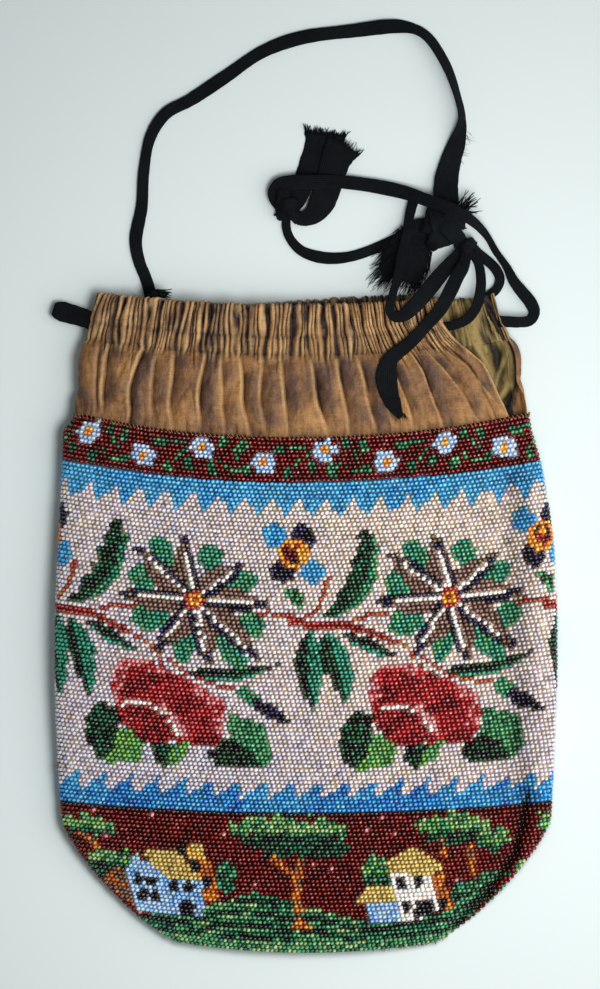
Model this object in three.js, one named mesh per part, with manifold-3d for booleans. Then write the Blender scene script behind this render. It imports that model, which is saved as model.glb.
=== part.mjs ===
import * as THREE from 'three';
import { mergeVertices } from 'three/addons/utils/BufferGeometryUtils.js';
import Module from 'manifold-3d';

// A bead-knitted drawstring reticule in millimetres, lying on its back with its mouth towards +Y.
// The origin is on the table, under the middle of the bag without its tapes.

// Beaded pouch, measured over the beads
const mouthWidth = 157.5; // across the sewn top edge
const lowerWidth = 163.5; // across, where the bottom corners begin
const sideBulge = 3.3; // how far each side swells out between those two
const straightHeight = 135; // from the sewn edge down to the corners
const cornerHeight = 41.3; // from there down to the bottom seam
const bottomWidth = 85; // length of the bottom seam
const cornerPower = 1.27; // 1 is a straight chamfer, 2 a round corner
const mouthDepth = 14; // front to back at the sewn edge
const bellyDepth = 17; // front to back at the thickest
const bottomDepth = 7; // front to back at the bottom seam
const knitWall = 2; // beads and thread together
const ridgePitch = 4.2; // three rows of beads to a ridge
const ridgeHeight = 0.5;
const grooveWidth = 1.4; // between two ridges
const seamRound = 2.2; // rounding of the bottom edges towards their seam
const mouthSag = 8; // the rows hang lower in the middle of the bag than at its sides
const lowerSag = 3.5; // from the corners down
const topLean = -2.8; // the mouth has slumped to one side
const leanReach = 45; // over this height of the pouch

// Gathered cloth top
const clothHeight = 40; // above the sewn edge, at the sides
const topWidth = 133;
const topSag = 4;
const clothWall = 0.6;
const seamLap = 3; // tucked inside the beaded edge
const heading = 4.5; // frill above the casing
const casingHeight = 9; // channel that the drawstring runs in
const hemLap = 1.5; // sewn strip under the channel
const mouthGap = 5.8; // clear space between the two hems
const foldCount = 20; // soft folds round the bag, each splitting into two gathers in the casing
const foldHeight = 1;
const foldLow = 6.4; // the soft folds stand full between these heights above the sewn edge
const foldHigh = 16.8;
const gatherHeight = 0.9;
const pinchHeight = 0.3; // what a row of stitches leaves of the gathers
const seatRise = 8; // the cloth settles from the beaded edge to the table over this height

// Side opening of the cloth at the right, where the front panel's edge has fallen away
const openingTopX = 43.5;
const openingFootX = 66.5;
const openingFootLift = 3; // above the sewn edge
const openingLean = 3; // the edge leans out by this much along the heading

// Slits in the casing that the tapes come out of
const handleSlitX = -52;
const backSlitX = 57.5;
const leftSlitLow = 2.6; // above the table
const leftSlitHigh = 6.6;

// Lining bag
const liningWall = 0.5;
const liningLift = 9; // kept above the bottom seam

// Tapes and knots
const tapeWidth = 4.3; // folded double, as worn
const tapeThickness = 0.8;
const wideTape = 6.4; // opened out flat
const tailRootWidth = 5;
const tailEndWidth = 14;
const tornThickness = 0.54; // of the frayed tail
const mainKnotRadius = 7;
const mainKnotHeight = 8;
const bowKnotRadius = 2.7;
const bowKnotHeight = 6.4;
const endKnotRadius = 5;
const endKnotHeight = 5.2;
// Centres of the knots on the table, from the middle of the bag and from the cloth's top edge
const mainKnotPlace = [46.8, 22.9];
const bowKnotPlace = [53.6, 15.5];
const endKnotPlace = [-7.5, 31.6];

const fit = 0.3; // clearance between touching pieces
const slack = 0.6; // cloth lies this loosely inside the knitting
const channelGap = tapeThickness + 2 * fit;
const casingWall = 2 * clothWall + channelGap;

// Roundness of the flattened bag
const edgeShare = 0.42; // height of the widest line, as a share of the depth
const pouchRound = 6; // how far the pouch's sides round in underneath
const clothRound = 3.5;
const crownPower = 2.6; // 2 is an ellipse, more is boxier
const flatShare = 0.5; // share of the underside's points that lie on the flat
const pouchPoints = 36; // corners of one level of the pouch
const finePoints = 240;
const channelPoints = 60;
const clothPoints = foldCount * 8;
const plainStep = 22; // between levels of the pouch's inner face
const cornerStep = 4; // the same in the rounded corners
const tapeStep = 7.5; // along a tape
const loopStep = 2.8; // along the tight loop at the left
const knotSides = 16;
const rimSteps = 3;

const pouchHeight = straightHeight + cornerHeight;
const topY = (clothHeight + pouchHeight + lowerSag) / 2;
const seamY = topY - clothHeight;
const clothDepth = mouthGap + 2 * casingWall;
const casingLow = clothHeight - heading - casingHeight;
const casingMiddle = casingLow + casingHeight / 2;
const openingFloor = clothDepth / 2;

const beads = new THREE.MeshStandardMaterial({ color: 0xb9a49c, roughness: 0.3, metalness: 0 });
const brownCloth = new THREE.MeshStandardMaterial({ color: 0x8a6238, roughness: 0.7, metalness: 0 });
const liningCloth = new THREE.MeshStandardMaterial({ color: 0x7a5f38, roughness: 0.85, metalness: 0 });
const blackTape = new THREE.MeshStandardMaterial({ color: 0x15171b, roughness: 0.8, metalness: 0 });

const { lerp, smoothstep } = THREE.MathUtils;

// Half the pouch's width, at a distance down from the sewn edge
function pouchHalf(down) {
  if (down <= straightHeight) {
    const share = down / straightHeight;
    return lerp(mouthWidth, lowerWidth, share) / 2 + sideBulge * Math.sin(Math.PI * share);
  }
  const share = Math.min((down - straightHeight) / cornerHeight, 1);
  const corner = (1 - share ** cornerPower) ** (1 / cornerPower);
  return lerp(bottomWidth, lowerWidth, corner) / 2;
}

function pouchDepth(down) {
  const rise = smoothstep(down, 0, straightHeight / 2);
  const fall = smoothstep(down, straightHeight / 2, pouchHeight);
  return mouthDepth + (bellyDepth - mouthDepth) * rise - (bellyDepth - bottomDepth) * fall;
}

function pouchSag(down) {
  return lerp(mouthSag, lowerSag, Math.min(down / straightHeight, 1));
}

function lean(down) {
  return topLean * (1 - smoothstep(down, 0, leanReach));
}

// One level of the flattened bag, seen along it: crowned on top, rounded at the sides, flat below
function crownedSection(half, depth, base, round, steps) {
  const edge = base + depth * edgeShare;
  const points = [];
  const turns = steps / 2;
  for (let i = 0; i <= turns; i++) {
    const angle = (Math.PI * i) / turns;
    const across = Math.cos(angle);
    const x = half * Math.sign(across) * Math.abs(across) ** (2 / crownPower);
    const z = edge + (base + depth - edge) * Math.abs(Math.sin(angle)) ** (2 / crownPower);
    points.push(new THREE.Vector2(x, z));
  }
  for (let i = 1; i < turns; i++) {
    const share = (2 * i) / turns - 1;
    const out = Math.abs(share);
    const turn = (Math.max(out - flatShare, 0) / (1 - flatShare)) * (Math.PI / 2);
    const flat = (half - round) * Math.min(out / flatShare, 1);
    const x = Math.sign(share) * (flat + round * Math.sin(turn));
    points.push(new THREE.Vector2(x, edge - (edge - base) * Math.cos(turn)));
  }
  return points;
}

// The same closed line with evenly spaced corners
function evenly(points, count) {
  const line = [...points, points[0]];
  const lengths = [0];
  for (let i = 1; i < line.length; i++) lengths.push(lengths[i - 1] + line[i].distanceTo(line[i - 1]));
  const even = [];
  let span = 1;
  for (let i = 0; i < count; i++) {
    const place = (lengths[lengths.length - 1] * i) / count;
    while (lengths[span] < place) span++;
    const share = (place - lengths[span - 1]) / (lengths[span] - lengths[span - 1]);
    even.push(line[span - 1].clone().lerp(line[span], share));
  }
  return even;
}

// A section set in place: lower in the middle by the sag, and shifted sideways
function level(section, half, y, sag, shift) {
  return section.map((p) => new THREE.Vector3(p.x + shift, y - sag * (1 - (p.x / half) ** 2), p.y));
}

// Skin over a row of rings, closed by caps at its ends or joined round to its first ring
function loft(rings, round = false) {
  const count = rings[0].length;
  const corners = rings.flat();
  const index = [];
  const spans = round ? rings.length : rings.length - 1;
  for (let r = 0; r < spans; r++) {
    const here = r * count;
    const next = ((r + 1) % rings.length) * count;
    for (let i = 0; i < count; i++) {
      const j = (i + 1) % count;
      index.push(here + i, here + j, next + j, here + i, next + j, next + i);
    }
  }
  if (!round) {
    const last = (rings.length - 1) * count;
    const caps = [rings[0], rings[rings.length - 1]].map((ring) =>
      ring.reduce((sum, p) => sum.add(p), new THREE.Vector3()).divideScalar(count));
    const middle = corners.length;
    corners.push(...caps);
    for (let i = 0; i < count; i++) {
      const j = (i + 1) % count;
      index.push(middle, j, i, middle + 1, last + i, last + j);
    }
  }
  const geometry = new THREE.BufferGeometry().setFromPoints(corners);
  geometry.setIndex(index);
  return facingOut(geometry);
}

function facingOut(geometry) {
  const places = geometry.attributes.position;
  const index = geometry.index.array;
  const [a, b, c] = [new THREE.Vector3(), new THREE.Vector3(), new THREE.Vector3()];
  let volume = 0;
  for (let i = 0; i < index.length; i += 3) {
    a.fromBufferAttribute(places, index[i]);
    b.fromBufferAttribute(places, index[i + 1]);
    c.fromBufferAttribute(places, index[i + 2]);
    volume += a.dot(b.cross(c));
  }
  if (volume < 0) {
    for (let i = 0; i < index.length; i += 3) [index[i], index[i + 1]] = [index[i + 1], index[i]];
  }
  geometry.computeVertexNormals();
  return geometry;
}

const wasm = await Module();
wasm.setup();

function solid(geometry) {
  const bare = geometry.clone();
  bare.deleteAttribute('normal');
  bare.deleteAttribute('uv');
  const merged = mergeVertices(bare);
  const vertProperties = merged.attributes.position.array;
  const triVerts = new Uint32Array(merged.index.array);
  return new wasm.Manifold(new wasm.Mesh({ numProp: 3, vertProperties, triVerts }));
}

function skin(manifold) {
  const { vertProperties, triVerts } = manifold.getMesh();
  const geometry = new THREE.BufferGeometry();
  geometry.setAttribute('position', new THREE.BufferAttribute(vertProperties, 3));
  geometry.setIndex(new THREE.BufferAttribute(triVerts, 1));
  geometry.computeVertexNormals();
  return geometry;
}

function block(low, high) {
  const size = high.clone().sub(low);
  const middle = low.clone().add(high).divideScalar(2);
  return new THREE.BoxGeometry(size.x, size.y, size.z).translate(middle.x, middle.y, middle.z);
}

// One level of the pouch's outer face, or of a skin set inside it
function pouchLevel(down, inset) {
  const half = pouchHalf(down) - inset;
  const section = crownedSection(half, pouchDepth(down) - 2 * inset, inset, pouchRound, pouchPoints);
  return level(section, half, seamY - down, pouchSag(down), lean(down));
}

// Bead face from the sewn edge to the bottom seam: flat-topped ridges with grooves between them
function ridgedFace() {
  const ridges = Math.round(pouchHeight / ridgePitch);
  const rings = [pouchLevel(0, 0)];
  for (let i = 1; i < ridges; i++) {
    const groove = (pouchHeight * i) / ridges;
    rings.push(pouchLevel(groove - grooveWidth / 2, 0));
    rings.push(pouchLevel(groove, ridgeHeight));
    rings.push(pouchLevel(groove + grooveWidth / 2, 0));
  }
  for (let i = 0; i <= rimSteps; i++) {
    const turn = (Math.PI / 2) * (i / rimSteps);
    rings.push(pouchLevel(pouchHeight - seamRound * (1 - Math.sin(turn)), seamRound * (1 - Math.cos(turn))));
  }
  return rings;
}

// Depths from low to high, evenly spread and no further apart than a step
function stations(low, high, step) {
  const count = Math.ceil((high - low) / step);
  return Array.from({ length: count + 1 }, (_, i) => lerp(low, high, i / count));
}

// Levels that the pouch's inner face and the lining share, closer together in the rounded corners
const linedLevels = [
  ...stations(seamLap + fit, straightHeight, plainStep),
  ...stations(straightHeight, pouchHeight - liningLift, cornerStep).slice(1),
];

function beadedBody() {
  const rings = ridgedFace().reverse();
  for (const down of [0, ...linedLevels, pouchHeight - knitWall]) rings.push(pouchLevel(down, knitWall));
  return loft(rings);
}

function lining() {
  const outside = knitWall + slack;
  const inside = outside + liningWall;
  const rings = linedLevels.map((down) => pouchLevel(down, outside)).reverse();
  const floor = pouchHeight - liningLift - liningWall;
  const innerLevels = [...linedLevels.slice(0, -1), floor];
  return loft([...rings, ...innerLevels.map((down) => pouchLevel(down, inside))]);
}

// Form of the cloth at a height above the sewn edge; below that it follows the pouch's inner face
function clothShape(up) {
  const seat = smoothstep(up, 0, seatRise);
  const inset = knitWall + slack;
  const climb = Math.max(up, 0) / clothHeight;
  const down = Math.max(-up, 0);
  return {
    half: lerp(pouchHalf(down) - inset, topWidth / 2, climb),
    depth: lerp(pouchDepth(down) - 2 * inset, clothDepth, seat),
    base: lerp(inset, 0, seat),
    round: lerp(pouchRound, clothRound, seat),
    sag: lerp(pouchSag(down), topSag, climb),
    shift: lean(down),
  };
}

// One plain level of the cloth, set in from its outer face
function plainClothLevel(up, inset, steps) {
  const { half, depth, base, round, sag, shift } = clothShape(up);
  const section = crownedSection(half - inset, depth - 2 * inset, base + inset, round, steps);
  return level(section, half - inset, seamY + up, sag, shift);
}

// One level of the cloth, set in from its outer face and raised into folds there
function clothLevel(up, inset, count, folds = 0, foldRise = 0) {
  const { half, depth, base, round, sag, shift } = clothShape(up);
  const inner = half - inset;
  const section = crownedSection(inner, depth - 2 * inset, base + inset, round, finePoints);
  const points = evenly(section, count);
  const raised = points.map((p, i) => {
    const before = points[(i + count - 1) % count];
    const after = points[(i + 1) % count];
    const out = new THREE.Vector2(after.y - before.y, before.x - after.x).normalize();
    const rise = out.y < 0 ? 0 : foldRise * (0.5 + 0.5 * Math.cos((2 * Math.PI * folds * i) / count));
    return p.clone().addScaledVector(out, rise);
  });
  return level(raised, inner, seamY + up, sag, shift);
}

// The channel between the outer cloth and its turned-in hem
function casingChannel() {
  const low = casingLow;
  const high = casingLow + casingHeight;
  const near = clothWall;
  const far = clothWall + channelGap;
  const rings = [[low, near], [high, near], [high, far], [low, far]];
  return loft(rings.map(([up, inset]) => plainClothLevel(up, inset, channelPoints)), true);
}

// Prism over the fallen edge of the front panel
function sideOpening() {
  const past = seamY + clothHeight + heading;
  const far = topWidth;
  const foot = seamY + openingFootLift;
  const shoulder = seamY + casingMiddle;
  const outline = new THREE.Shape([
    new THREE.Vector2(openingTopX - openingLean, past),
    new THREE.Vector2(openingTopX, shoulder),
    new THREE.Vector2(openingFootX, foot),
    new THREE.Vector2(far, foot),
    new THREE.Vector2(far, past),
  ]);
  const prism = new THREE.ExtrudeGeometry(outline, { depth: 2 * clothDepth, bevelEnabled: false });
  return prism.translate(0, 0, openingFloor);
}

// Slit through the back panel's heading, where a tape comes up out of the channel
function headingSlit(x) {
  const reach = tapeWidth / 2 + fit;
  const low = new THREE.Vector3(x - reach, seamY + casingLow + hemLap, clothWall);
  const high = new THREE.Vector3(x + reach, topY + heading, clothWall + channelGap);
  return block(low, high);
}

const leftEdge = topLean - clothShape(casingMiddle).half;

// Slit in the left side of the casing, where the drawstring's loop pokes out
function leftSlit() {
  const reach = wideTape / 2 + 2 * fit;
  const taper = (mouthWidth - topWidth) / 2 - knitWall - slack;
  const low = new THREE.Vector3(-2 * gatherHeight, -reach, leftSlitLow);
  const high = new THREE.Vector3(clothWall + fit, reach, leftSlitHigh);
  const turned = block(low, high).rotateZ(-Math.atan(taper / clothHeight));
  return turned.translate(leftEdge, seamY + casingMiddle, 0);
}

function clothTop() {
  const rings = [
    clothLevel(-seamLap, 0, clothPoints),
    clothLevel(0, 0, clothPoints),
    clothLevel(foldLow, 0, clothPoints, foldCount, foldHeight),
    clothLevel(foldHigh, 0, clothPoints, foldCount, foldHeight),
    clothLevel(casingLow - hemLap, 0, clothPoints, 2 * foldCount, pinchHeight),
    clothLevel(casingMiddle, 0, clothPoints, 2 * foldCount, gatherHeight),
    clothLevel(casingLow + casingHeight, 0, clothPoints, 2 * foldCount, pinchHeight),
    clothLevel(clothHeight, 0, clothPoints, 2 * foldCount, gatherHeight),
    clothLevel(clothHeight, casingWall, clothPoints),
    clothLevel(casingLow - hemLap, casingWall, clothPoints),
    clothLevel(casingLow - hemLap, clothWall, clothPoints),
    clothLevel(seatRise, clothWall, clothPoints),
    clothLevel(0, clothWall, clothPoints),
    clothLevel(-seamLap, clothWall, clothPoints),
  ];
  const cuts = [casingChannel(), sideOpening(), headingSlit(handleSlitX), headingSlit(backSlitX), leftSlit()];
  return skin(cuts.reduce((cloth, cut) => cloth.subtract(solid(cut)), solid(loft(rings, true))));
}

// The drawstring's run inside the casing, from the front panel's open end round to the right side
function drawstring() {
  const near = clothWall + fit;
  const far = near + tapeThickness;
  const low = casingMiddle - tapeWidth / 2;
  const high = casingMiddle + tapeWidth / 2;
  const corners = [[low, near], [high, near], [high, far], [low, far]];
  const edges = corners.map(([up, inset]) => plainClothLevel(up, inset, channelPoints));
  const start = edges[0].findIndex((p) => p.x < openingTopX - tapeWidth / 2);
  const rings = edges[0].map((_, i) => edges.map((edge) => edge[i]));
  return loft(rings.slice(start));
}

// A route that keeps a flat tape's width level, or along a given direction
class TapeRoute extends THREE.CatmullRomCurve3 {
  constructor(points, side) {
    super(points.map(([x, y, z]) => new THREE.Vector3(x, topY + y, z)));
    this.side = side;
  }

  computeFrenetFrames(segments) {
    const up = new THREE.Vector3(0, 0, 1);
    const tangents = [];
    const normals = [];
    const binormals = [];
    for (let i = 0; i <= segments; i++) {
      const tangent = this.getTangentAt(i / segments);
      const normal = this.side ? this.side.clone() : up.clone().cross(tangent).normalize();
      tangents.push(tangent);
      normals.push(normal);
      binormals.push(tangent.clone().cross(normal));
    }
    return { tangents, normals, binormals };
  }
}

// Eight-sided section of a flat tape
function tapeSection(width) {
  const w = width / 2;
  const t = tapeThickness / 2;
  const corners = [
    [w, -t / 2], [w, t / 2], [w - t, t], [t - w, t], [-w, t / 2], [-w, -t / 2], [t - w, -t], [w - t, -t],
  ];
  return new THREE.Shape(corners.map(([x, y]) => new THREE.Vector2(x, y)));
}

function tape(points, width = tapeWidth, step = tapeStep, side = null) {
  const extrudePath = new TapeRoute(points, side);
  const steps = Math.round(extrudePath.getLength() / step);
  return new THREE.ExtrudeGeometry(tapeSection(width), { steps, extrudePath, bevelEnabled: false });
}

// Pulled-tight knot: a drum with rounded rims, standing on the table
function knot(radius, height, x, y) {
  const rim = Math.min(radius, height) / 3;
  const profile = [new THREE.Vector2(0, 0), new THREE.Vector2(radius - rim, 0)];
  for (let i = 1; i <= rimSteps; i++) {
    const turn = (Math.PI / 2) * (i / rimSteps);
    profile.push(new THREE.Vector2(radius - rim + rim * Math.sin(turn), rim - rim * Math.cos(turn)));
  }
  for (let i = 0; i <= rimSteps; i++) {
    const turn = (Math.PI / 2) * (i / rimSteps);
    profile.push(new THREE.Vector2(radius - rim + rim * Math.cos(turn), height - rim + rim * Math.sin(turn)));
  }
  profile.push(new THREE.Vector2(0, height));
  return new THREE.LatheGeometry(profile, knotSides).rotateX(Math.PI / 2).translate(x, topY + y, 0);
}

// Routes of the tapes as they lie, with y from the cloth's top edge
const handleRoute = [
  [-52, -8.4, 1.3], [-52, -4.3, 1.3], [-52, -0.1, 1.2], [-53.4, 5.1, 0.6], [-55.6, 10.6, 0.45],
  [-56.8, 17.6, 0.45], [-54.8, 29.1, 0.45], [-54.1, 40.8, 0.45], [-51.8, 52.5, 0.45], [-46.8, 60.1, 0.45],
  [-38.5, 64.7, 0.45], [-26.9, 72.4, 0.45], [-14.6, 80.7, 0.45], [-2, 85.3, 0.45], [14.6, 87.6, 0.45],
  [32.4, 89.1, 0.45], [39.5, 86.4, 0.45], [46.1, 77.3, 0.45], [50.5, 65.7, 0.45], [52, 58.1, 0.45],
  [50.6, 51.1, 0.45], [48.2, 43.6, 0.6], [46.9, 36.6, 1.4], [46.8, 30.3, 2.6],
];
const upperStrandRoute = [
  [42, 28.5, 4], [38.5, 31.3, 3.6], [34.5, 33.1, 3], [28, 34.8, 2.4], [19.6, 36.3, 2.2],
  [11.3, 37.2, 2.2], [5, 37, 2.6], [1, 35.6, 3], [-2.6, 33.9, 3.2],
];
const lowerStrandRoute = [
  [-7.2, 26.2, 0.5], [-6.9, 23.3, 0.45], [-5.6, 18.9, 0.45], [-1.9, 14.5, 0.45], [3.6, 12.4, 0.45],
  [9.1, 11.8, 0.45], [15.3, 12.5, 0.45], [23.6, 15.3, 0.45], [30.5, 18.4, 0.45], [35.6, 20.6, 0.5],
  [39.4, 21.7, 0.6],
];
const rightLoopRoute = [
  [54.8, 23.7, 3.6], [57.9, 22.1, 3.2], [60.6, 18.5, 2.8], [63, 14.3, 2.8], [67, 8.5, 2.8],
  [69.2, 4.1, 2.6], [72, 0.5, 2.4], [74.7, -2.9, 2.6], [76, -6.1, 3.2], [74.6, -9, 4.2],
  [71, -9.7, 5.6], [67.4, -9.6, 6.5], [63.8, -9.5, 6.6],
];
const bowLoopRoute = [
  [51.5, 12.9, 2.2], [49.6, 11.3, 4.2], [45.2, 6.6, 8.4], [39.8, -0.1, 12.3], [35.2, -5.3, 12.9],
  [32, -7.9, 12.8], [29.2, -8.2, 12.8], [27.5, -6, 12.9], [28.2, -1.9, 12.2], [30.2, 4.6, 7.8],
  [31.9, 12.9, 4.8], [33.7, 20.6, 3.8], [34.8, 26.2, 2.2], [35, 30.5, 1.2],
];
const tailRoute = [
  [53.1, 12.2, 5.4], [52, 8.9, 7.8], [50, 5, 10.2], [47.4, -0.3, 13], [44.2, -6, 13.1],
  [39.5, -11.3, 12.9], [34.9, -16.3, 12.9], [30.5, -19.9, 12.9], [27.7, -22.7, 12.9], [26, -27.2, 13],
  [26.6, -33.2, 13.1], [28.8, -38, 13.2], [31, -41.9, 13.3],
];
const frontStrandRoute = [
  [55.4, 13.1, 3.7], [57.2, 10.5, 4.6], [58, 6.5, 6], [57.9, 0.7, 8.4], [56.2, -5.3, 9.6],
  [53, -9.1, 9.1], [48.6, -10.9, 8.65], [44.6, -11.5, 8.85], [41.8, -11.8, 9],
];
const backStrandRoute = [
  [56.6, 14.7, 0.8], [59.4, 12.7, 0.6], [62.2, 10.3, 0.6], [64.2, 7.7, 0.7], [63.7, 5.5, 0.85],
  [61.4, 4.1, 1], [58.6, 3, 1.2], [57.5, 0.7, 1.3], [57.5, -2.9, 1.3], [57.5, -7, 1.3],
];
const leftLoopRoute = [
  [leftEdge + 0.45, -9.5, 3.6], [-74, -8, 2.6], [-79, -6.5, 1.6], [-83.4, -5.2, 1.1], [-85, -4.7, 1.9],
  [-83.4, -5.2, 2.8], [-79, -6.5, 3.6], [-74, -8, 4.8], [leftEdge + 0.45, -9.5, 5.6],
];
const cutEndOneRoute = [[-4.5, 36.1, 1.2], [-2, 39.7, 0.8], [-0.2, 45.1, 0.5], [0.5, 54.7, 0.45]];
const cutEndTwoRoute = [
  [-4.2, 27.2, 2.4], [-1, 24.9, 1.7], [3.6, 25.1, 0.8], [7.6, 29.3, 0.45], [9.6, 36.1, 0.45],
  [11, 42.5, 0.45], [12.6, 48.1, 0.45], [14.6, 53.1, 0.45],
];
const frayedTailRoute = [[38.5, 20.1, 2.3], [35.4, 15.9, 2.2], [32, 9.5, 1.7], [29.6, 3.5, 0.9]];
// Across the left loop's tape
const leftLoopSide = new THREE.Vector3(0.286, 0.958, 0).normalize();

// Torn end of the wide tape, spreading as it frays
function frayedTail() {
  const route = new TapeRoute(frayedTailRoute, null);
  const steps = Math.round(route.getLength() / (tapeStep / 2));
  const { normals, binormals } = route.computeFrenetFrames(steps);
  const rings = normals.map((side, i) => {
    const share = i / steps;
    const wide = side.clone().multiplyScalar(lerp(tailRootWidth, tailEndWidth, share) / 2);
    const thick = binormals[i].clone().multiplyScalar(tornThickness / 2);
    return [[-1, -1], [1, -1], [1, 1], [-1, 1]].map(([w, t]) =>
      route.getPointAt(share).addScaledVector(wide, w).addScaledVector(thick, t));
  });
  return loft(rings);
}

const reticule = new THREE.Group();

function add(name, geometry, material) {
  const mesh = new THREE.Mesh(geometry, material);
  mesh.name = name;
  reticule.add(mesh);
}

add('beaded_body', beadedBody(), beads);
add('cloth_top', clothTop(), brownCloth);
add('lining', lining(), liningCloth);
add('drawstring', drawstring(), blackTape);
add('handle_tape', tape(handleRoute), blackTape);
add('upper_strand', tape(upperStrandRoute), blackTape);
add('lower_strand', tape(lowerStrandRoute), blackTape);
add('right_loop', tape(rightLoopRoute), blackTape);
add('bow_loop', tape(bowLoopRoute), blackTape);
add('tape_tail', tape(tailRoute), blackTape);
add('front_strand', tape(frontStrandRoute), blackTape);
add('back_strand', tape(backStrandRoute), blackTape);
add('left_loop', tape(leftLoopRoute, wideTape, loopStep, leftLoopSide), blackTape);
add('frayed_tail', frayedTail(), blackTape);
add('cut_end_one', tape(cutEndOneRoute, wideTape), blackTape);
add('cut_end_two', tape(cutEndTwoRoute, wideTape), blackTape);
add('main_knot', knot(mainKnotRadius, mainKnotHeight, ...mainKnotPlace), blackTape);
add('bow_knot', knot(bowKnotRadius, bowKnotHeight, ...bowKnotPlace), blackTape);
add('end_knot', knot(endKnotRadius, endKnotHeight, ...endKnotPlace), blackTape);

export default reticule;
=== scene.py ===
import math
import bpy
import numpy as np
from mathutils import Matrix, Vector
from mathutils.kdtree import KDTree


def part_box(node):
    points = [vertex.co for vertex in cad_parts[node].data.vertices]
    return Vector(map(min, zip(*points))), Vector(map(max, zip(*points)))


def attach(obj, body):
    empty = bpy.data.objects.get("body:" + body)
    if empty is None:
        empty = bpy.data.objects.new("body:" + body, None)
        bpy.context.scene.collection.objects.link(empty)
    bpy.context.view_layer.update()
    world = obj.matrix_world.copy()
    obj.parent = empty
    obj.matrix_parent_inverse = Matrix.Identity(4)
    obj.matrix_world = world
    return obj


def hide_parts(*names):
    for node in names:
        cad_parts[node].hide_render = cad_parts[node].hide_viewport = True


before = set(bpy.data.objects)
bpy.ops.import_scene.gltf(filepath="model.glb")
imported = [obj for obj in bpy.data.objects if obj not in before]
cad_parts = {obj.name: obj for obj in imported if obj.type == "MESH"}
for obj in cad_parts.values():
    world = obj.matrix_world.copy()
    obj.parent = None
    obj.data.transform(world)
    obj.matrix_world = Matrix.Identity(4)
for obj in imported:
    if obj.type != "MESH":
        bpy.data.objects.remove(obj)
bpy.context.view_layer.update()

mm = 0.001
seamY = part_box("beaded_body")[1].y / mm  # sewn edge between beads and cloth, at the sides
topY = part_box("cloth_top")[1].y / mm
tiny = 1e-9  # the least length that anything is divided by
draw = np.random.default_rng(1835)
body = "root"


def lerp(a, b, share):
    return a + (b - a) * share


def smooth(value, low, high):
    share = np.clip((value - low) / (high - low), 0, 1)
    return share * share * (3 - 2 * share)


def window(value, rise, fall):  # up over one span and down over the other
    return smooth(value, *rise) * (1 - smooth(value, *fall))


def bell(off, wide):
    return np.exp(-(off / wide) ** 2)


def waves(first, second, terms):  # sines, each with its height and its pace along two values
    return sum(height * np.sin(first * one + second * two) for height, one, two in terms)


def atShares(share, pairs):  # a value that is given at shares of a length
    return np.interp(share, *np.array(pairs).T)


def linear(code):  # "#rrggbb" to the linear colour that the shaders take
    parts = np.array([int(code[i:i + 2], 16) / 255 for i in (1, 3, 5)])
    return np.where(parts <= 0.04045, parts / 12.92, ((parts + 0.055) / 1.055) ** 2.4)


def rgba(code):
    return (*linear(code), 1.0)


class Wire:  # a shader socket that Python's operators work on
    def __init__(self, shader, socket):
        self.shader = shader
        self.socket = socket

    def maths(self, operation, first, second):
        return self.shader.node("Math", {"operation": operation}, {0: first, 1: second})

    def __add__(self, other):
        return self.maths("ADD", self, other)

    def __radd__(self, other):
        return self.maths("ADD", other, self)

    def __sub__(self, other):
        return self.maths("SUBTRACT", self, other)

    def __rsub__(self, other):
        return self.maths("SUBTRACT", other, self)

    def __mul__(self, other):
        return self.maths("MULTIPLY", self, other)

    def __rmul__(self, other):
        return self.maths("MULTIPLY", other, self)


class Shader:  # one material and its nodes
    def __init__(self, name):
        self.material = bpy.data.materials.new(name)
        self.material.use_nodes = True
        self.tree = self.material.node_tree
        self.surface = self.tree.nodes["Principled BSDF"]

    def node(self, kind, settings=None, inputs=None, output=0):
        made = self.tree.nodes.new("ShaderNode" + kind)
        for key, value in (settings or {}).items():
            setattr(made, key, value)
        for key, value in (inputs or {}).items():
            self.join(made.inputs[key], value)
        return Wire(self, made.outputs[output])

    def join(self, socket, value):
        if isinstance(value, Wire):
            self.tree.links.new(value.socket, socket)
        else:
            socket.default_value = value

    def blend(self, factor, first, second):
        return self.node("Mix", {"data_type": "RGBA"}, {0: factor, 6: first, 7: second}, 2)

    def noise(self, scale, detail=3.0, rough=0.55, place=None):
        inputs = {"Scale": scale, "Detail": detail, "Roughness": rough}
        if place is not None:
            inputs["Vector"] = place
        return self.node("TexNoise", {}, inputs)

    def attribute(self, name, output=0):
        return self.node("Attribute", {"attribute_name": name}, {}, output)

    def between(self, value, low, high):  # 0 at the low value and 1 at the high one
        return self.node("MapRange", {}, {"Value": value, 1: low, 2: high})

    def stretched(self, place, scale):
        return self.node("Mapping", {}, {"Vector": place, "Scale": scale})

    def bump(self, height, strength, distance):
        return self.node("Bump", {}, {"Strength": strength, "Distance": distance, "Height": height})

    def object(self):
        return self.node("TexCoord", {}, {}, 3)

    def done(self, look, colour, bump=None):  # the look says how rough and how shiny the surface is
        values = {"Base Color": colour, "Roughness": look["rough"], "Specular IOR Level": look["shine"]}
        if bump is not None:
            values["Normal"] = bump
        for key, value in values.items():
            self.join(self.surface.inputs[key], value)
        return self.material


def mottled(name, look):  # a material in two colours, mixed by noise
    shader = Shader(name)
    mix = shader.noise(*look["fleck"], shader.object())
    return shader.done(look, shader.blend(mix, rgba(look["dark"]), rgba(look["colour"])))


def meshPiece(name, points, faces, material, slot):  # points in millimetres
    mesh = bpy.data.meshes.new(name)
    mesh.from_pydata((np.asarray(points) * mm).tolist(), [], [list(face) for face in faces])
    mesh.polygons.foreach_set("use_smooth", [True] * len(mesh.polygons))
    mesh.update()
    mesh.materials.append(material)
    piece = bpy.data.objects.new(name, mesh)
    bpy.context.scene.collection.objects.link(piece)
    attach(piece, body)
    return piece


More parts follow.
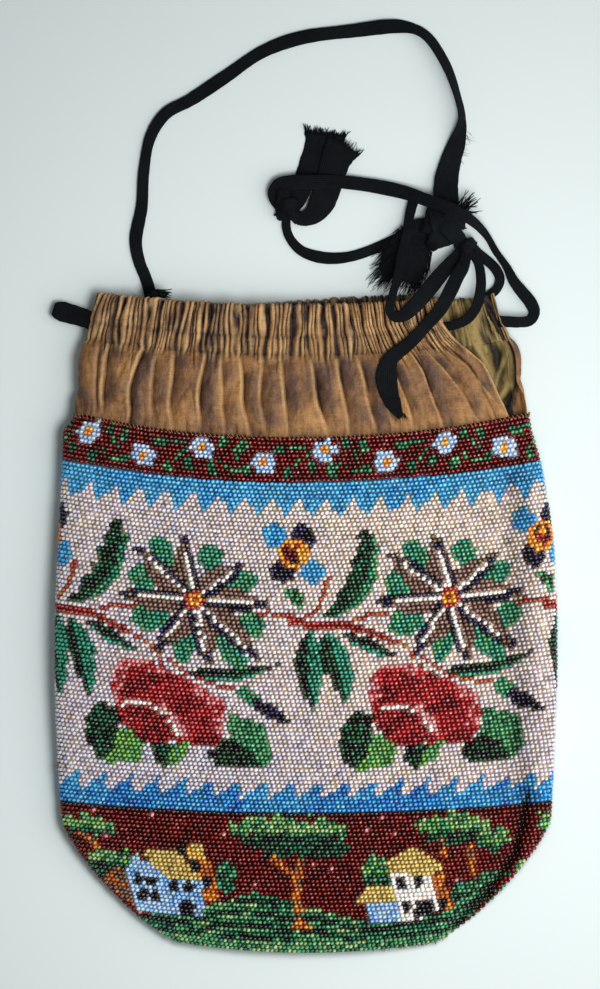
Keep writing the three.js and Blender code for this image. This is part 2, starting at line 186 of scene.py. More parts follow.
def pointLayer(piece, name, kind, field, values):  # a value or a colour for each point of a mesh
    layer = piece.data.attributes.new(name, kind, "POINT")
    layer.data.foreach_set(field, values.reshape(-1).astype(np.float32))


def ringFaces(rings, count):
    here = np.arange(rings - 1)[:, None] * count + np.arange(count)[None, :]
    over = np.arange(rings - 1)[:, None] * count + (np.arange(count)[None, :] + 1) % count
    return np.stack([here, over, over + count, here + count], axis=2).reshape(-1, 4)


def bagPiece(name, outer, inner, material, slot):  # an outer and an inner face, joined round the mouth
    rings = [*outer[::-1], *inner]
    ring = np.arange(outer.shape[1])
    ends = [ring[::-1].tolist(), (ring + (len(rings) - 1) * len(ring)).tolist()]
    faces = [*ringFaces(len(rings), len(ring)).tolist(), *ends]
    return meshPiece(name, np.vstack(rings), faces, material, slot)


# Camera straight above the bag, framed as in the photograph
cameraView = {"middle": (-2.0, 43.0), "tall": 328.3, "distance": 1400, "plane": 8, "sensor": 36, "reach": 20}


def makeCamera():
    lens = bpy.data.cameras.new("overhead")
    lens.sensor_fit = "VERTICAL"
    lens.sensor_height = cameraView["sensor"]
    lens.lens = cameraView["sensor"] * cameraView["distance"] / cameraView["tall"]
    lens.clip_end = cameraView["reach"]
    camera = bpy.data.objects.new("overhead", lens)
    x, y = cameraView["middle"]
    camera.location = Vector((x, y, cameraView["distance"] + cameraView["plane"])) * mm
    bpy.context.scene.collection.objects.link(camera)
    bpy.context.scene.camera = camera


# Pouch form, the same driving sizes as the solids have
pouch = {
    "mouthWidth": 157.5, "lowerWidth": 163.5, "sideBulge": 3.3, "straightHeight": 135,
    "cornerHeight": 41.3, "bottomWidth": 85, "cornerPower": 1.27,
    "mouthDepth": 14, "bellyDepth": 17, "bottomDepth": 7,
    "mouthSag": 8, "lowerSag": 3.5, "topLean": -2.8, "leanReach": 45,
    "edgeShare": 0.42, "round": 6, "crownPower": 2.6, "flatShare": 0.5,
    "closeOver": 5, "seamDepth": 1.6, "loopSteps": 240,
    "leftTuck": (1.0, 3.4), "tuckReach": (15, 40), "cornerReach": 3.5, "leftSpan": (45, 75),
    "rightTuck": 1.7, "rightReach": 18, "rightSpan": (50, 75),
}
pouchHeight = pouch["straightHeight"] + pouch["cornerHeight"]


def pouchHalf(down):
    share = np.clip(down / pouch["straightHeight"], 0, 1)
    side = lerp(pouch["mouthWidth"], pouch["lowerWidth"], share) / 2
    side = side + pouch["sideBulge"] * np.sin(math.pi * share)
    turn = np.clip((down - pouch["straightHeight"]) / pouch["cornerHeight"], 0, 1)
    power = pouch["cornerPower"]
    corner = lerp(pouch["bottomWidth"], pouch["lowerWidth"], (1 - turn ** power) ** (1 / power)) / 2
    return np.where(down <= pouch["straightHeight"], side, corner)


def pouchDepth(down):
    middle = pouch["straightHeight"] / 2
    rise = smooth(down, 0, middle)
    fall = smooth(down, middle, pouchHeight)
    return (pouch["mouthDepth"] + (pouch["bellyDepth"] - pouch["mouthDepth"]) * rise
            - (pouch["bellyDepth"] - pouch["bottomDepth"]) * fall)


def pouchSag(down):
    return lerp(pouch["mouthSag"], pouch["lowerSag"], np.clip(down / pouch["straightHeight"], 0, 1))


def pouchLean(down):
    return pouch["topLean"] * (1 - smooth(down, 0, pouch["leanReach"]))


def crownedLoop(half, depth, base, rounding):  # closed line from the right edge over the top
    steps = pouch["loopSteps"]
    edge = base + depth * pouch["edgeShare"]
    angle = np.linspace(0, math.pi, steps + 1)
    across = np.cos(angle)
    power = 2 / pouch["crownPower"]
    topX = half * np.sign(across) * np.abs(across) ** power
    topZ = edge + (base + depth - edge) * np.abs(np.sin(angle)) ** power
    share = np.linspace(-1, 1, steps + 1)[1:]
    out = np.abs(share)
    flat = pouch["flatShare"]
    turn = np.clip(out - flat, 0, None) / (1 - flat) * math.pi / 2
    lowX = np.sign(share) * ((half - rounding) * np.clip(out / flat, 0, 1) + rounding * np.sin(turn))
    lowZ = edge - (edge - base) * np.cos(turn)
    return np.column_stack([np.concatenate([topX, lowX]), np.concatenate([topZ, lowZ])])


def along(line):  # distance along a line of points
    return np.concatenate([[0], np.cumsum(np.linalg.norm(np.diff(line, axis=0), axis=1))])


def cornerTuck(x, down):  # the sewing draws the upper corners in
    side, corner = pouch["leftTuck"]
    left = side * (1 - smooth(down, *pouch["tuckReach"])) + corner * bell(down, pouch["cornerReach"])
    right = pouch["rightTuck"] * (1 - smooth(down, 0, pouch["rightReach"]))
    return left * smooth(-x, *pouch["leftSpan"]) - right * smooth(x, *pouch["rightSpan"])


def pouchGrid(downs, count, inset=0.0):
    # Equal steps round each level, from the front's middle to the right, under the back and up the left
    rows = []
    rounds = []
    for down in downs:
        depth = float(pouchDepth(down))
        close = float(np.clip((down - pouchHeight + pouch["closeOver"]) / pouch["closeOver"], 0, 1))
        shut = lerp(pouch["seamDepth"] / depth, 1, math.sqrt(1 - close ** 2))  # the bottom closes to its seam
        half = float(pouchHalf(down)) - inset
        base = depth * (1 - shut) * pouch["edgeShare"] + inset * shut
        loop = crownedLoop(half, (depth - 2 * inset) * shut, base, min(pouch["round"], half / 2))
        length = along(loop)
        middle = length[pouch["loopSteps"] // 2]
        place = (middle - np.arange(count) / count * length[-1]) % length[-1]
        x, z = (np.interp(place, length, part) for part in loop.T)
        y = seamY - down - float(pouchSag(down)) * (1 - (x / half) ** 2)
        rows.append(np.column_stack([x + cornerTuck(x, down) + float(pouchLean(down)), y, z]))
        rounds.append(length[-1])
    return np.array(rows), np.array(rounds)


def gridNormals(grid):
    acrossStep = np.roll(grid, -1, axis=1) - np.roll(grid, 1, axis=1)
    downStep = np.gradient(grid, axis=0)
    normal = np.cross(downStep, acrossStep)
    normal /= np.linalg.norm(normal, axis=2, keepdims=True)
    return normal


# Colours of the glass beads, as they look lying together
beadColours = {
    "pale": "#cfc5c9", "cream": "#d6cabd", "lilac": "#c4c0d2", "white": "#f7f4ee", "frost": "#aecbf4",
    "maroon": "#640d0b", "wine": "#460908", "darkRow": "#241012",
    "sky": "#489ccf", "blue": "#2f89cb", "deepBlue": "#296bba", "iceBlue": "#9cc0ef", "houseBlue": "#6ea2df",
    "navy": "#23203f", "black": "#17151a", "taupe": "#7d6159", "umber": "#66503f",
    "emerald": "#2d8269", "green": "#488c5c", "darkGreen": "#1f3f29", "forest": "#1d5c40",
    "lime": "#679c46", "sage": "#86a86e", "red": "#a8282b", "rose": "#861d22", "darkRed": "#5f1519",
    "pink": "#cf7f83", "blush": "#e2b3b0", "stem": "#97362b", "orange": "#d9842c", "rust": "#a8551f",
    "amber": "#e3a23a", "ochre": "#c8ae62",
}
beadNames = list(beadColours)

# Bead knitting: stitches round, rows down, and how the beads lie
knitting = {
    "stitches": 224, "rows": 126, "slip": 0.235, "sunk": 0.66, "long": 0.88, "short": 0.69, "tall": 0.64,
    "slant": 0.62, "slantSpread": 0.3, "wander": 0.06, "growSpread": 0.05, "bigWhite": 1.08,
    "frontStretch": 1.023, "finer": 4, "repeat": 56, "flower": (-24.5, 40.0), "scene": 112,
}
chartLine = {"slack": 0.01, "half": 0.5, "leafPower": 0.8, "leafLeast": 0.25}


def lineDistance(spots, points):  # from each flat spot to a line through points
    points = np.array(points, float)
    best = np.full(spots.shape[:-1], np.inf)
    for a, b in zip(points, points[1:]):
        span = b - a
        share = np.clip(((spots - a) @ span) / (span @ span), 0, 1)
        best = np.minimum(best, np.linalg.norm(spots - a - share[..., None] * span, axis=-1))
    return best


class Chart:  # bead colours by stitch and row, painted one shape over another
    def __init__(self, across, down):
        self.across = across
        self.down = down
        self.names = np.full(len(across), beadNames.index("pale"))

    def paint(self, where, *names):  # several names are mixed bead by bead
        picks = np.array([beadNames.index(name) for name in names])
        chosen = picks[draw.integers(0, len(picks), len(where))]
        self.names = np.where(where, chosen, self.names)

    def near(self, middle, period):  # stitches, shifted by whole repeats to lie nearest a middle
        return (self.across - middle + period / 2) % period - period / 2 + middle

    def oval(self, middle, size, turn, period):
        x = self.near(middle[0], period) - middle[0]
        y = self.down - middle[1]
        c, s = math.cos(turn), math.sin(turn)
        return ((x * c + y * s) / size[0]) ** 2 + ((y * c - x * s) / size[1]) ** 2 <= 1

    def polygon(self, corners, period):
        corners = np.array(corners)
        x = self.near(corners[:, 0].mean(), period)
        inside = np.zeros(len(x), bool)
        for (ax, ay), (bx, by) in zip(corners, np.roll(corners, -1, axis=0)):
            crosses = (ay > self.down) != (by > self.down)
            edge = ax + (self.down - ay) / (by - ay if by != ay else 1) * (bx - ax)
            inside ^= crosses & (x < edge)
        return inside

    def distance(self, points, period):
        x = self.near(np.array(points, float)[:, 0].mean(), period)
        return lineDistance(np.column_stack([x, self.down]), points)

    def line(self, points, width, period):
        return self.distance(points, period) <= width

    def string(self, points, period):  # a line one bead wide
        points = np.array(points, float)
        x = self.near(points[:, 0].mean(), period)
        found = np.zeros(len(x), bool)
        for (ax, ay), (bx, by) in zip(points, points[1:]):
            if abs(by - ay) >= abs(bx - ax):
                share = (self.down - ay) / (by - ay)
                off = x - ax - share * (bx - ax)
            else:
                share = (x - ax) / (bx - ax)
                off = self.down - ay - share * (by - ay)
            slack = chartLine["slack"]
            found |= (share >= -slack) & (share <= 1 + slack) & (np.abs(off) <= chartLine["half"])
        return found

    def leaf(self, base, tip, width, bend, period):  # a pointed leaf, and which side of its rib a bead is on
        base, tip = np.array(base, float), np.array(tip, float)
        span = tip - base
        size = np.linalg.norm(span)
        span /= size
        x = self.near((base[0] + tip[0]) / 2, period) - base[0]
        y = self.down - base[1]
        t = (x * span[0] + y * span[1]) / size
        inside = (t >= 0) & (t <= 1)
        t = np.clip(t, 0, 1)
        side = span[0] * y - span[1] * x - bend * np.sin(math.pi * t)
        reach = width * np.sin(math.pi * t ** chartLine["leafPower"]) + chartLine["leafLeast"]
        return inside & (np.abs(side) <= reach), side


# Corners and lines of the flower repeat, in stitches and rows from the flower's middle
flowerRepeat = {
    "petals": [(-2.8, -14.3), (10.4, -9.0), (15.4, 0.4), (13.5, 13.1), (3.3, 15.0), (-7.5, 12.4), (-15.0, 0),
               (-12.5, -11)],
    "gaps": [((-7.2, -10.5), (1.9, 3.6), -0.35), ((3.4, -10.6), (2.3, 2.2), 0),
             ((10.2, -4.3), (3.0, 2.1), -0.5), ((12.7, 5.6), (2.4, 2.5), 0.3),
             ((8.2, 12.0), (2.0, 4.4), -0.6), ((-2.0, 10.6), (1.9, 4.2), 0.1),
             ((-9.6, 5.0), (3.3, 2.6), -0.4), ((-11.0, -4.4), (2.7, 2.7), 0)],
    "leaf": [(-18.2, -17.9), (-16.4, -16.6), (-15.0, -13.6), (-15.4, -9.8), (-16.3, -5.2), (-17.8, -1.7),
             (-21.0, 1.6), (-25.2, 3.6), (-28.8, 3.6), (-25.8, 0.9), (-24.6, -1.4), (-24.9, -2.4),
             (-22.6, -4.3), (-22.9, -5.8), (-21.3, -7.4), (-22.3, -10.0), (-19.9, -11.4), (-20.6, -13.7),
             (-18.9, -14.2), (-19.8, -16.0)],
    "leafLight": [(-16.4, -16.6), (-15.0, -13.6), (-15.4, -9.8), (-16.3, -5.2), (-17.8, -1.7), (-21.0, 1.6),
                  (-25.2, 3.6), (-20.0, -1.4), (-17.7, -6.5), (-16.9, -11.5)],
    "stems": [[(-34.9, 4.3), (-30.8, 5.6), (-23.5, 5.3), (-18.0, 3.4), (-12.5, 2.4)],
              [(-23.2, 5.6), (-18.5, 7.0), (-14.0, 9.2), (-10.5, 10.7), (-8.0, 13.6), (-6.8, 17.2)],
              [(-31.5, 3.4), (-29.0, 1.4), (-27.4, -2.4), (-26.6, -6.8)],
              [(12.9, 3.9), (16.0, 2.4), (21.1, 3.2), (25.6, 4.9)],
              [(-6.2, 14.2), (-3.0, 17.0), (1.2, 19.2), (5.4, 20.7), (9.5, 21.1)]],
    "droops": [((-30.8, 6.6), (-29.8, 26.4), 2.9, 0.5), ((-27.2, 7.2), (-23.0, 25.0), 2.8, -0.8)],
    "sprays": [((-23.2, 7.9), (-11.6, 13.8), 1.3, 0.0), ((-1.0, 17.6), (18.6, 15.0), 1.3, 1.6)],
    "budSepal": ((12.3, 23.2), (3.2, 1.9), 0.7), "bud": ((12.6, 24.2), (21.0, 29.4), 1.5, 0.0),
    "rose": [(-18.1, 23.0), (-17.3, 18.6), (-15.3, 15.4), (-9.8, 15.2), (-4.0, 17.9), (1.5, 21.0),
             (6.1, 23.8), (6.9, 26.5), (6.4, 31.8), (5.1, 35.3), (0.0, 36.0), (-5.1, 34.8), (-10.7, 36.0),
             (-14.5, 33.1), (-17.1, 29.0)],
    "rosePale": [(-18.1, 24.5), (-17.4, 18.6), (-15.3, 15.4), (-9.8, 15.2), (-6.5, 16.5)],
    "roseSide": [(2.5, 21.8), (6.1, 24.0), (6.9, 26.5), (6.4, 31.0)],
    "roseArc": [(-16.2, 27.4), (-14.7, 25.8), (-10.4, 25.7), (-8.2, 27.2), (-6.7, 28.9), (-4.6, 31.0),
                (-4.0, 33.8)],
    "roseGlow": [(-7.0, 26.4), (-5.2, 28.6), (-3.2, 30.6), (-2.6, 33.2)],
    "roseCore": [(-16.2, 27.4), (-14.7, 25.8), (-10.4, 25.7), (-8.2, 27.2), (-6.7, 28.9), (-4.6, 31.0),
                 (-4.2, 34.6), (-10.7, 36.0), (-14.5, 33.1), (-17.1, 29.0)],
    "leftLeaf": [(-20.6, 26.6), (-24.0, 30.8), (-24.4, 35.0), (-23.0, 39.0), (-20.9, 41.2), (-17.5, 38.0),
                 (-16.6, 32.0), (-17.3, 27.6)],
    "leftLime": [(-17.0, 32.2), (-14.4, 32.7), (-11.4, 35.9), (-12.3, 40.6), (-20.6, 41.2), (-17.9, 36.8)],
    "midLeaf": [(-10.0, 35.6), (-4.2, 35.0), (-5.9, 40.6), (-7.3, 41.8), (-9.4, 39.2)],
    "midLime": [(-1.0, 34.8), (-4.3, 35.2), (-6.5, 38.5), (-5.7, 41.0), (-2.7, 39.0)],
    "rightLeaf": [(7.4, 27.2), (12.5, 28.8), (15.8, 30.4), (17.2, 37.4), (14.7, 40.6), (5.0, 40.2),
                  (2.2, 37.6), (7.3, 33.0)],
    "rightDark": [(7.3, 33.0), (12.2, 36.6), (14.7, 40.6), (5.0, 40.2), (2.2, 37.6)],
    "stemFoot": (2, 3, 0.8), "droopRib": 0.2, "sprayRib": 0.35, "gapGrow": 1.25, "roseGlowWide": 0.8,
    "petalWide": 3.7, "taupeTo": 0.5, "navyTo": 1.8, "petalTip": (0.88, 1.0), "petalWhite": (2.4, 0.82),
    "eye": [(2.3, "red", "stem"), (1.6, "orange", "amber"), (0.6, "rose")],
    "streak": (0.62, 0.33, 0.6, -6), "streakOver": 0.45,
    "roseEdge": [(2.6, "pink", "red", "red"), (1.2, "pink", "pink", "red")],
    "pansyPetals": [(-4.1, -4.3, "sky", "blue"), (2.5, -4.2, "navy", "black"), (-2.4, 4.3, "navy", "black"),
                    (4.1, 4.4, "sky", "blue")],
    "pansyPetal": (2.7, 2.9), "pansyGold": (3.6, 3.7), "pansyHeart": (2.2, 2.4),
    "pansy": (21.7, -12.1), "pansyLeaf": [(18.9, -3.8), (24.1, -2.6), (23.8, 1.8), (21.6, 0.6)],
}


def paintFlower(chart):
    period = knitting["repeat"]
    home = np.array(knitting["flower"])
    shape = flowerRepeat

    def moved(points):
        return [tuple(np.array(point) + home) for point in points]

    def paintArea(name, *colours):
        chart.paint(chart.polygon(moved(shape[name]), period), *colours)

    def paintOval(middle, size, turn, *colours):
        chart.paint(chart.oval(middle, size, turn, period), *colours)

    def leaf(base, tip, width, bend):
        return chart.leaf(*moved([base, tip]), width, bend, period)

    for stem in shape["stems"]:
        chart.paint(chart.string(moved(stem), period), "stem", "stem", "stem", "rust")
    thickened, points, width = shape["stemFoot"]
    for stem in shape["stems"][:thickened]:
        chart.paint(chart.line(moved(stem[:points]), width, period), "stem", "stem", "rose")
    paintArea("leaf", "darkGreen", "darkGreen", "forest", "black", "darkGreen")
    paintArea("leafLight", "emerald", "green", "forest")
    for droop in shape["droops"]:
        inside, side = leaf(*droop)
        chart.paint(inside & (side > shape["droopRib"]), "darkGreen", "black", "darkGreen")
        chart.paint(inside & (side <= shape["droopRib"]), "emerald")
    for spray in shape["sprays"]:
        inside, side = leaf(*spray)
        chart.paint(inside, "emerald")
        chart.paint(inside & (side < shape["sprayRib"]), "darkGreen", "black")
    for middle, size, turn in shape["gaps"]:
        paintOval(moved([middle])[0], shape["gapGrow"] * np.array(size), turn, "emerald", "emerald", "green")

    tips = np.array(shape["petals"])
    petals = [leaf((0, 0), tip, shape["petalWide"], 0) for tip in tips]
    for inside, side in petals:  # each petal is taupe, with navy on its clockwise side
        chart.paint(inside & (side < shape["taupeTo"]), "taupe", "taupe", "taupe", "umber")
    start, width = shape["petalTip"]
    for tip, (inside, side) in zip(tips, petals):
        chart.paint(inside & (side >= 0) & (side < shape["navyTo"]), "navy", "navy", "black")
        chart.paint(chart.line(moved([tip * start, tip]), width, period), "navy", "umber")
    start, end = shape["petalWhite"]
    for tip in tips:
        chart.paint(chart.string(moved([tip * start / np.linalg.norm(tip), tip * end]), period), "white")
    for radius, *colours in shape["eye"]:
        paintOval(home, (radius, radius), 0, *colours)

    paintArea("rose", "red", "rose", "red")
    within = chart.polygon(moved(shape["rose"]), period)
    byRow, byStitch, start, left = shape["streak"]
    streak = np.sin(byRow * chart.down + byStitch * chart.near(home[0] + left, period) + start)
    chart.paint(within & (streak > shape["streakOver"]), "rose", "rose", "darkRed")
    for name in ("rosePale", "roseSide"):
        edge = chart.distance(moved(shape[name]), period)
        for width, *colours in shape["roseEdge"]:
            chart.paint(within & (edge < width), *colours)
    paintArea("roseCore", "rose", "darkRed", "red")
    chart.paint(chart.line(moved(shape["roseGlow"]), shape["roseGlowWide"], period), "blush", "pink", "pink")
    chart.paint(chart.string(moved(shape["roseArc"]), period), "white")
    paintArea("leftLeaf", "darkGreen", "darkGreen", "forest", "black")
    paintArea("leftLime", "lime", "lime", "green")
    paintArea("midLeaf", "darkGreen", "forest", "black")
    paintArea("midLime", "lime", "green")
    paintArea("rightLeaf", "green", "forest", "green")
    paintArea("rightDark", "darkGreen", "darkGreen", "black")
    middle, size, turn = shape["budSepal"]
    paintOval(moved([middle])[0], size, turn, "emerald", "green")
    inside, side = leaf(*shape["bud"])
    chart.paint(inside, "navy", "navy", "black")

    middle = np.array(moved([shape["pansy"]])[0])
    for across, down, colour, second in shape["pansyPetals"]:
        paintOval(middle + (across, down), shape["pansyPetal"], 0, colour, colour, second)
    paintOval(middle, shape["pansyGold"], 0, "orange", "amber", "orange")
    paintOval(middle, shape["pansyHeart"], 0, "rose", "darkRed", "darkRed", "amber", "black")
    paintArea("pansyLeaf", "darkGreen", "green")


# Corners of the village scene, in stitches from the front's middle and rows from the sewn edge
villageScene = {
    "horizon": [(-56, 121), (-46, 119.6), (-38, 118.2), (-31, 117.6), (-23.2, 114.9), (-19.5, 113),
                (-11.8, 110.8), (-3.6, 112.7), (0.4, 114.2), (6.5, 116), (13.8, 118.1), (21.6, 118.8),
                (24.8, 118.3), (33.4, 116.5), (35.2, 111.6), (39.5, 110.4), (45, 108.4), (50, 110),
                (56, 115)],
    "treeTops": [((-50.5, 96.8), (6.6, 2.4)), ((-43.5, 104.6), (6.8, 2.6)), ((-8.0, 95.6), (9.5, 2.9)),
                 ((2.4, 96.0), (7.2, 3.0)), ((33.0, 95.4), (9.0, 2.6)), ((42.5, 99.4), (4.2, 2.6)),
                 ((15.9, 106.0), (3.2, 3.8)), ((54.6, 96.6), (2.4, 2.2)), ((49.6, 107.4), (1.8, 2.4))],
    "treeShade": [((-46.5, 107.6), (5.5, 1.9)), ((-7.4, 98.6), (7.2, 1.9)), ((3.6, 100.2), (6.4, 2.6)),
                  ((-6.5, 101.4), (3.8, 1.4)), ((33.5, 98.6), (7.0, 1.5)), ((18.0, 108.6), (2.2, 2.6))],
    "bushes": [((-18.3, 107.6), (2.3, 3.8)), ((37.0, 112.4), (4.5, 3.2)), ((41.8, 109.8), (3.2, 2.4))],
    "brownBush": [(-47.4, 110.3), (-43.5, 106.6), (-41.1, 107.9), (-39.4, 116.6)],
    "trunks": [[(-1.4, 103.0), (-2.0, 111.0), (-1.9, 118.8)], [(-7.4, 102.6), (-3.6, 106.0), (-2.0, 108.6)],
               [(37.4, 101.0), (38.7, 111.4)], [(31.2, 98.8), (31.6, 103.0)],
               [(-51.3, 99.2), (-47.4, 102.2)]],
    "trunkFoot": [(-3.6, 119.6), (-2.4, 117.2), (-1.2, 117.2), (2.2, 119.2), (2.0, 120)],
    "gable": [(-41.6, 107.3), (-39.2, 103.2), (-36.2, 104.6), (-32.1, 108.3), (-31.2, 117.6), (-38.5, 117.4)],
    "front": [(-32.3, 107.9), (-23.8, 107.6), (-23.2, 117.7), (-31.3, 117.8)],
    "roof": [(-37.4, 103.0), (-36.2, 101.6), (-29.6, 101.2), (-23.8, 108.2), (-32.1, 108.4)],
    "shade": [(-30.5, 101.9), (-28.3, 98.8), (-26.2, 104.0)],
    "backGable": [(-27.0, 99.2), (-23.7, 99.0), (-22.2, 103.4), (-27.0, 103.6)],
    "backWall": [(-26.6, 103.6), (-22.1, 103.3), (-19.8, 113.5), (-23.3, 113.9), (-24.4, 107.6)],
    "panes": [(-38.2, 109.5), (-35.0, 109.5), (-37.2, 113.2), (-34.3, 113.1), (-30.1, 110.1), (-26.8, 110.4),
              (-25.2, 104.8), (-22.6, 108.8), (21.6, 109.2), (25.4, 109.0), (22.8, 114.9), (31.2, 115.0)],
    "doors": [[(-28.9, 117.8), (-28.9, 114.2), (-27.2, 113.2), (-25.6, 114.2), (-25.4, 117.8)],
              [(24.6, 118.2), (25.0, 114.2), (26.4, 113.2), (28.9, 114.0), (30.2, 117.2)]],
    "whiteWall": [(19.0, 106.3), (28.3, 106.9), (29.8, 114.2), (30.0, 117.2), (24.8, 118.6), (22.0, 118.6),
                  (20.6, 112.6)],
    "whiteRoof": [(18.7, 106.7), (18.5, 103.5), (24.4, 99.8), (31.9, 106.3), (28.1, 107.4)],
    "sideRoof": [(11.6, 113.0), (13.4, 109.8), (20.2, 110.0), (20.8, 113.8)],
    "sideWall": [(13.5, 113.5), (20.8, 113.8), (21.9, 118.6), (14.3, 118.6)],
    "specks": 0.015, "edgeRows": 1, "ragged": [(0.7, 1.9, 0.9), (0.5, 0.8, -1.7)], "raggedSpread": 0.4,
    "topShare": 0.25, "branch": 0.8, "trunk": 1.0, "pane": (1.15, 1.6), "foot": 122.5,
    "slope": (0.55, 0.45), "swell": (0.5, 0.31, 1), "swellSpread": 0.15, "stripes": 3,
    "brightPaces": ((0.23, 0), (0.09, 2)), "brightOver": 0.3,
    "rightWall": [(28.5, 107.4), (31.7, 106.6), (31.4, 110.6), (32.3, 111.0), (33.4, 116.5), (30.4, 117.0),
                  (29.4, 111.0)],
}


def paintVillage(chart):
    period = knitting["scene"]
    shape = villageScene

    def paintOvals(name, *colours):
        for middle, size in shape[name]:
            chart.paint(chart.oval(middle, size, 0, period), *colours)

    def paintArea(corners, *colours):
        chart.paint(chart.polygon(corners, period), *colours)

    land = chart.down > bands["village"]
    chart.paint(land, "maroon", "maroon", "wine")
    chart.paint(land & (draw.random(len(land)) < shape["specks"]), "pink")
    chart.paint(land & (chart.down < bands["village"] + shape["edgeRows"]), "darkRow", "wine")
    for middle, size in shape["treeTops"]:
        ragged = waves(chart.across, chart.down, shape["ragged"])
        ragged = ragged + draw.normal(0, shape["raggedSpread"], len(land))
        x = np.abs(chart.near(middle[0], period) - middle[0]) / size[0]
        leafy = x ** 2 + ((chart.down - middle[1] + ragged) / size[1]) ** 2 <= 1
        low = chart.down > middle[1] + size[1] * shape["topShare"]
        chart.paint(leafy & land, "sage", "sage", "green", "lime", "forest")
        chart.paint(leafy & low, "green", "forest", "forest", "darkGreen")
    paintOvals("treeShade", "forest", "darkGreen", "darkGreen", "black")
    paintArea(shape["brownBush"], "rust", "umber", "umber")
    for trunk in shape["trunks"]:
        chart.paint(chart.line(trunk, shape["branch"], period), "rust", "umber", "rust", "orange")
    paintOvals("bushes", "green", "forest", "emerald", "darkGreen")

    place = (chart.across + period / 2) % period - period / 2
    horizon = np.array(shape["horizon"])
    depth = chart.down - np.interp(place, horizon[:, 0], horizon[:, 1])
    byDepth, byRow = shape["slope"]
    swell, pace, start = shape["swell"]
    wave = byDepth * depth + byRow * chart.down + swell * np.sin(place * pace + start)
    wave = wave + draw.normal(0, shape["swellSpread"], len(land))
    ground = depth > 0
    stripe = np.floor(wave) % shape["stripes"]
    bright = sum(np.sin(place * pace + start) for pace, start in shape["brightPaces"]) > shape["brightOver"]
    chart.paint(ground, "green", "forest", "forest")
    chart.paint(ground & (stripe == 0), "darkGreen", "black", "black")
    chart.paint(ground & (stripe == 1) & bright, "green", "sage", "green")
    chart.paint(ground & (chart.down > shape["foot"]), "green", "forest", "sage", "green")
    chart.paint(chart.line(shape["trunks"][0], shape["trunk"], period), "rust", "umber", "rust", "orange")
    paintArea(shape["trunkFoot"], "rust", "rust", "orange")

    for name, *colours in (
            ("shade", "black"), ("backGable", "ochre", "ochre", "amber"),
            ("backWall", "rust", "rust", "orange"),
            ("gable", "iceBlue", "iceBlue", "houseBlue"), ("front", "iceBlue", "houseBlue"),
            ("roof", "ochre"),
            ("rightWall", "rust", "orange"), ("sideWall", "houseBlue", "iceBlue"), ("sideRoof", "ochre"),
            ("whiteWall", "white"), ("whiteRoof", "ochre")):
        paintArea(shape[name], *colours)
    for pane in shape["panes"]:
        chart.paint(chart.oval(pane, shape["pane"], 0, period), "black")
    for door in shape["doors"]:
        paintArea(door, "black")


# Rows where the bands start and end, their teeth, and how their blues and the pale field are mixed
bands = {
    "border": 10.8, "upperTip": 18.8, "upperTeeth": 4.6, "lowerTip": 83.6, "lowerTeeth": 4.6, "village": 91.6,
    "tooth": 224 / 37, "upperTooth": 1.8, "lowerTooth": -32.9, "toothRise": 0.67,
    "blueWave": 0.5, "bluePaces": (0.21, 0.083), "blueStart": 2, "blueSpread": 0.25,
    "upperBlue": 0.62, "lowerBlue": 0.5, "fieldWave": (0.9, 0.05, 0.3), "fieldFall": 0.02, "fieldRow": 50,
    "cream": 0.8, "lilac": -1.0,
}
# Border sprigs, in stitches and rows from a high flower's middle
borderSprig = {
    "repeat": 28, "start": -22, "petals": 6, "petalTurn": 0.5,
    "high": (0, 2.8), "low": (14, 6.0), "petal": 2.75, "lobe": 0.3, "eye": 1.05,
    "stems": [[(3.2, 5.2), (4.8, 7.0), (6.2, 8.0), (8.0, 8.3), (9.8, 6.9), (11.2, 6.4)],
              [(6.9, 2.8), (7.4, 4.4), (8.4, 5.4)], [(21.4, 6.4), (22.6, 5.0), (24.2, 3.6), (25.4, 3.2)]],
    "leaves": [((5.0, 1.3), (1.2, 1.4)), ((9.2, 2.0), (1.2, 2.0)), ((1.8, 7.9), (1.2, 2.0)),
               ((17.8, 2.6), (1.8, 1.0)), ((21.8, 2.0), (2.2, 0.9)), ((19.8, 8.2), (1.0, 1.6)),
               ((9.8, 7.4), (1.3, 0.8)), ((24.8, 6.8), (1.1, 1.5))],
}


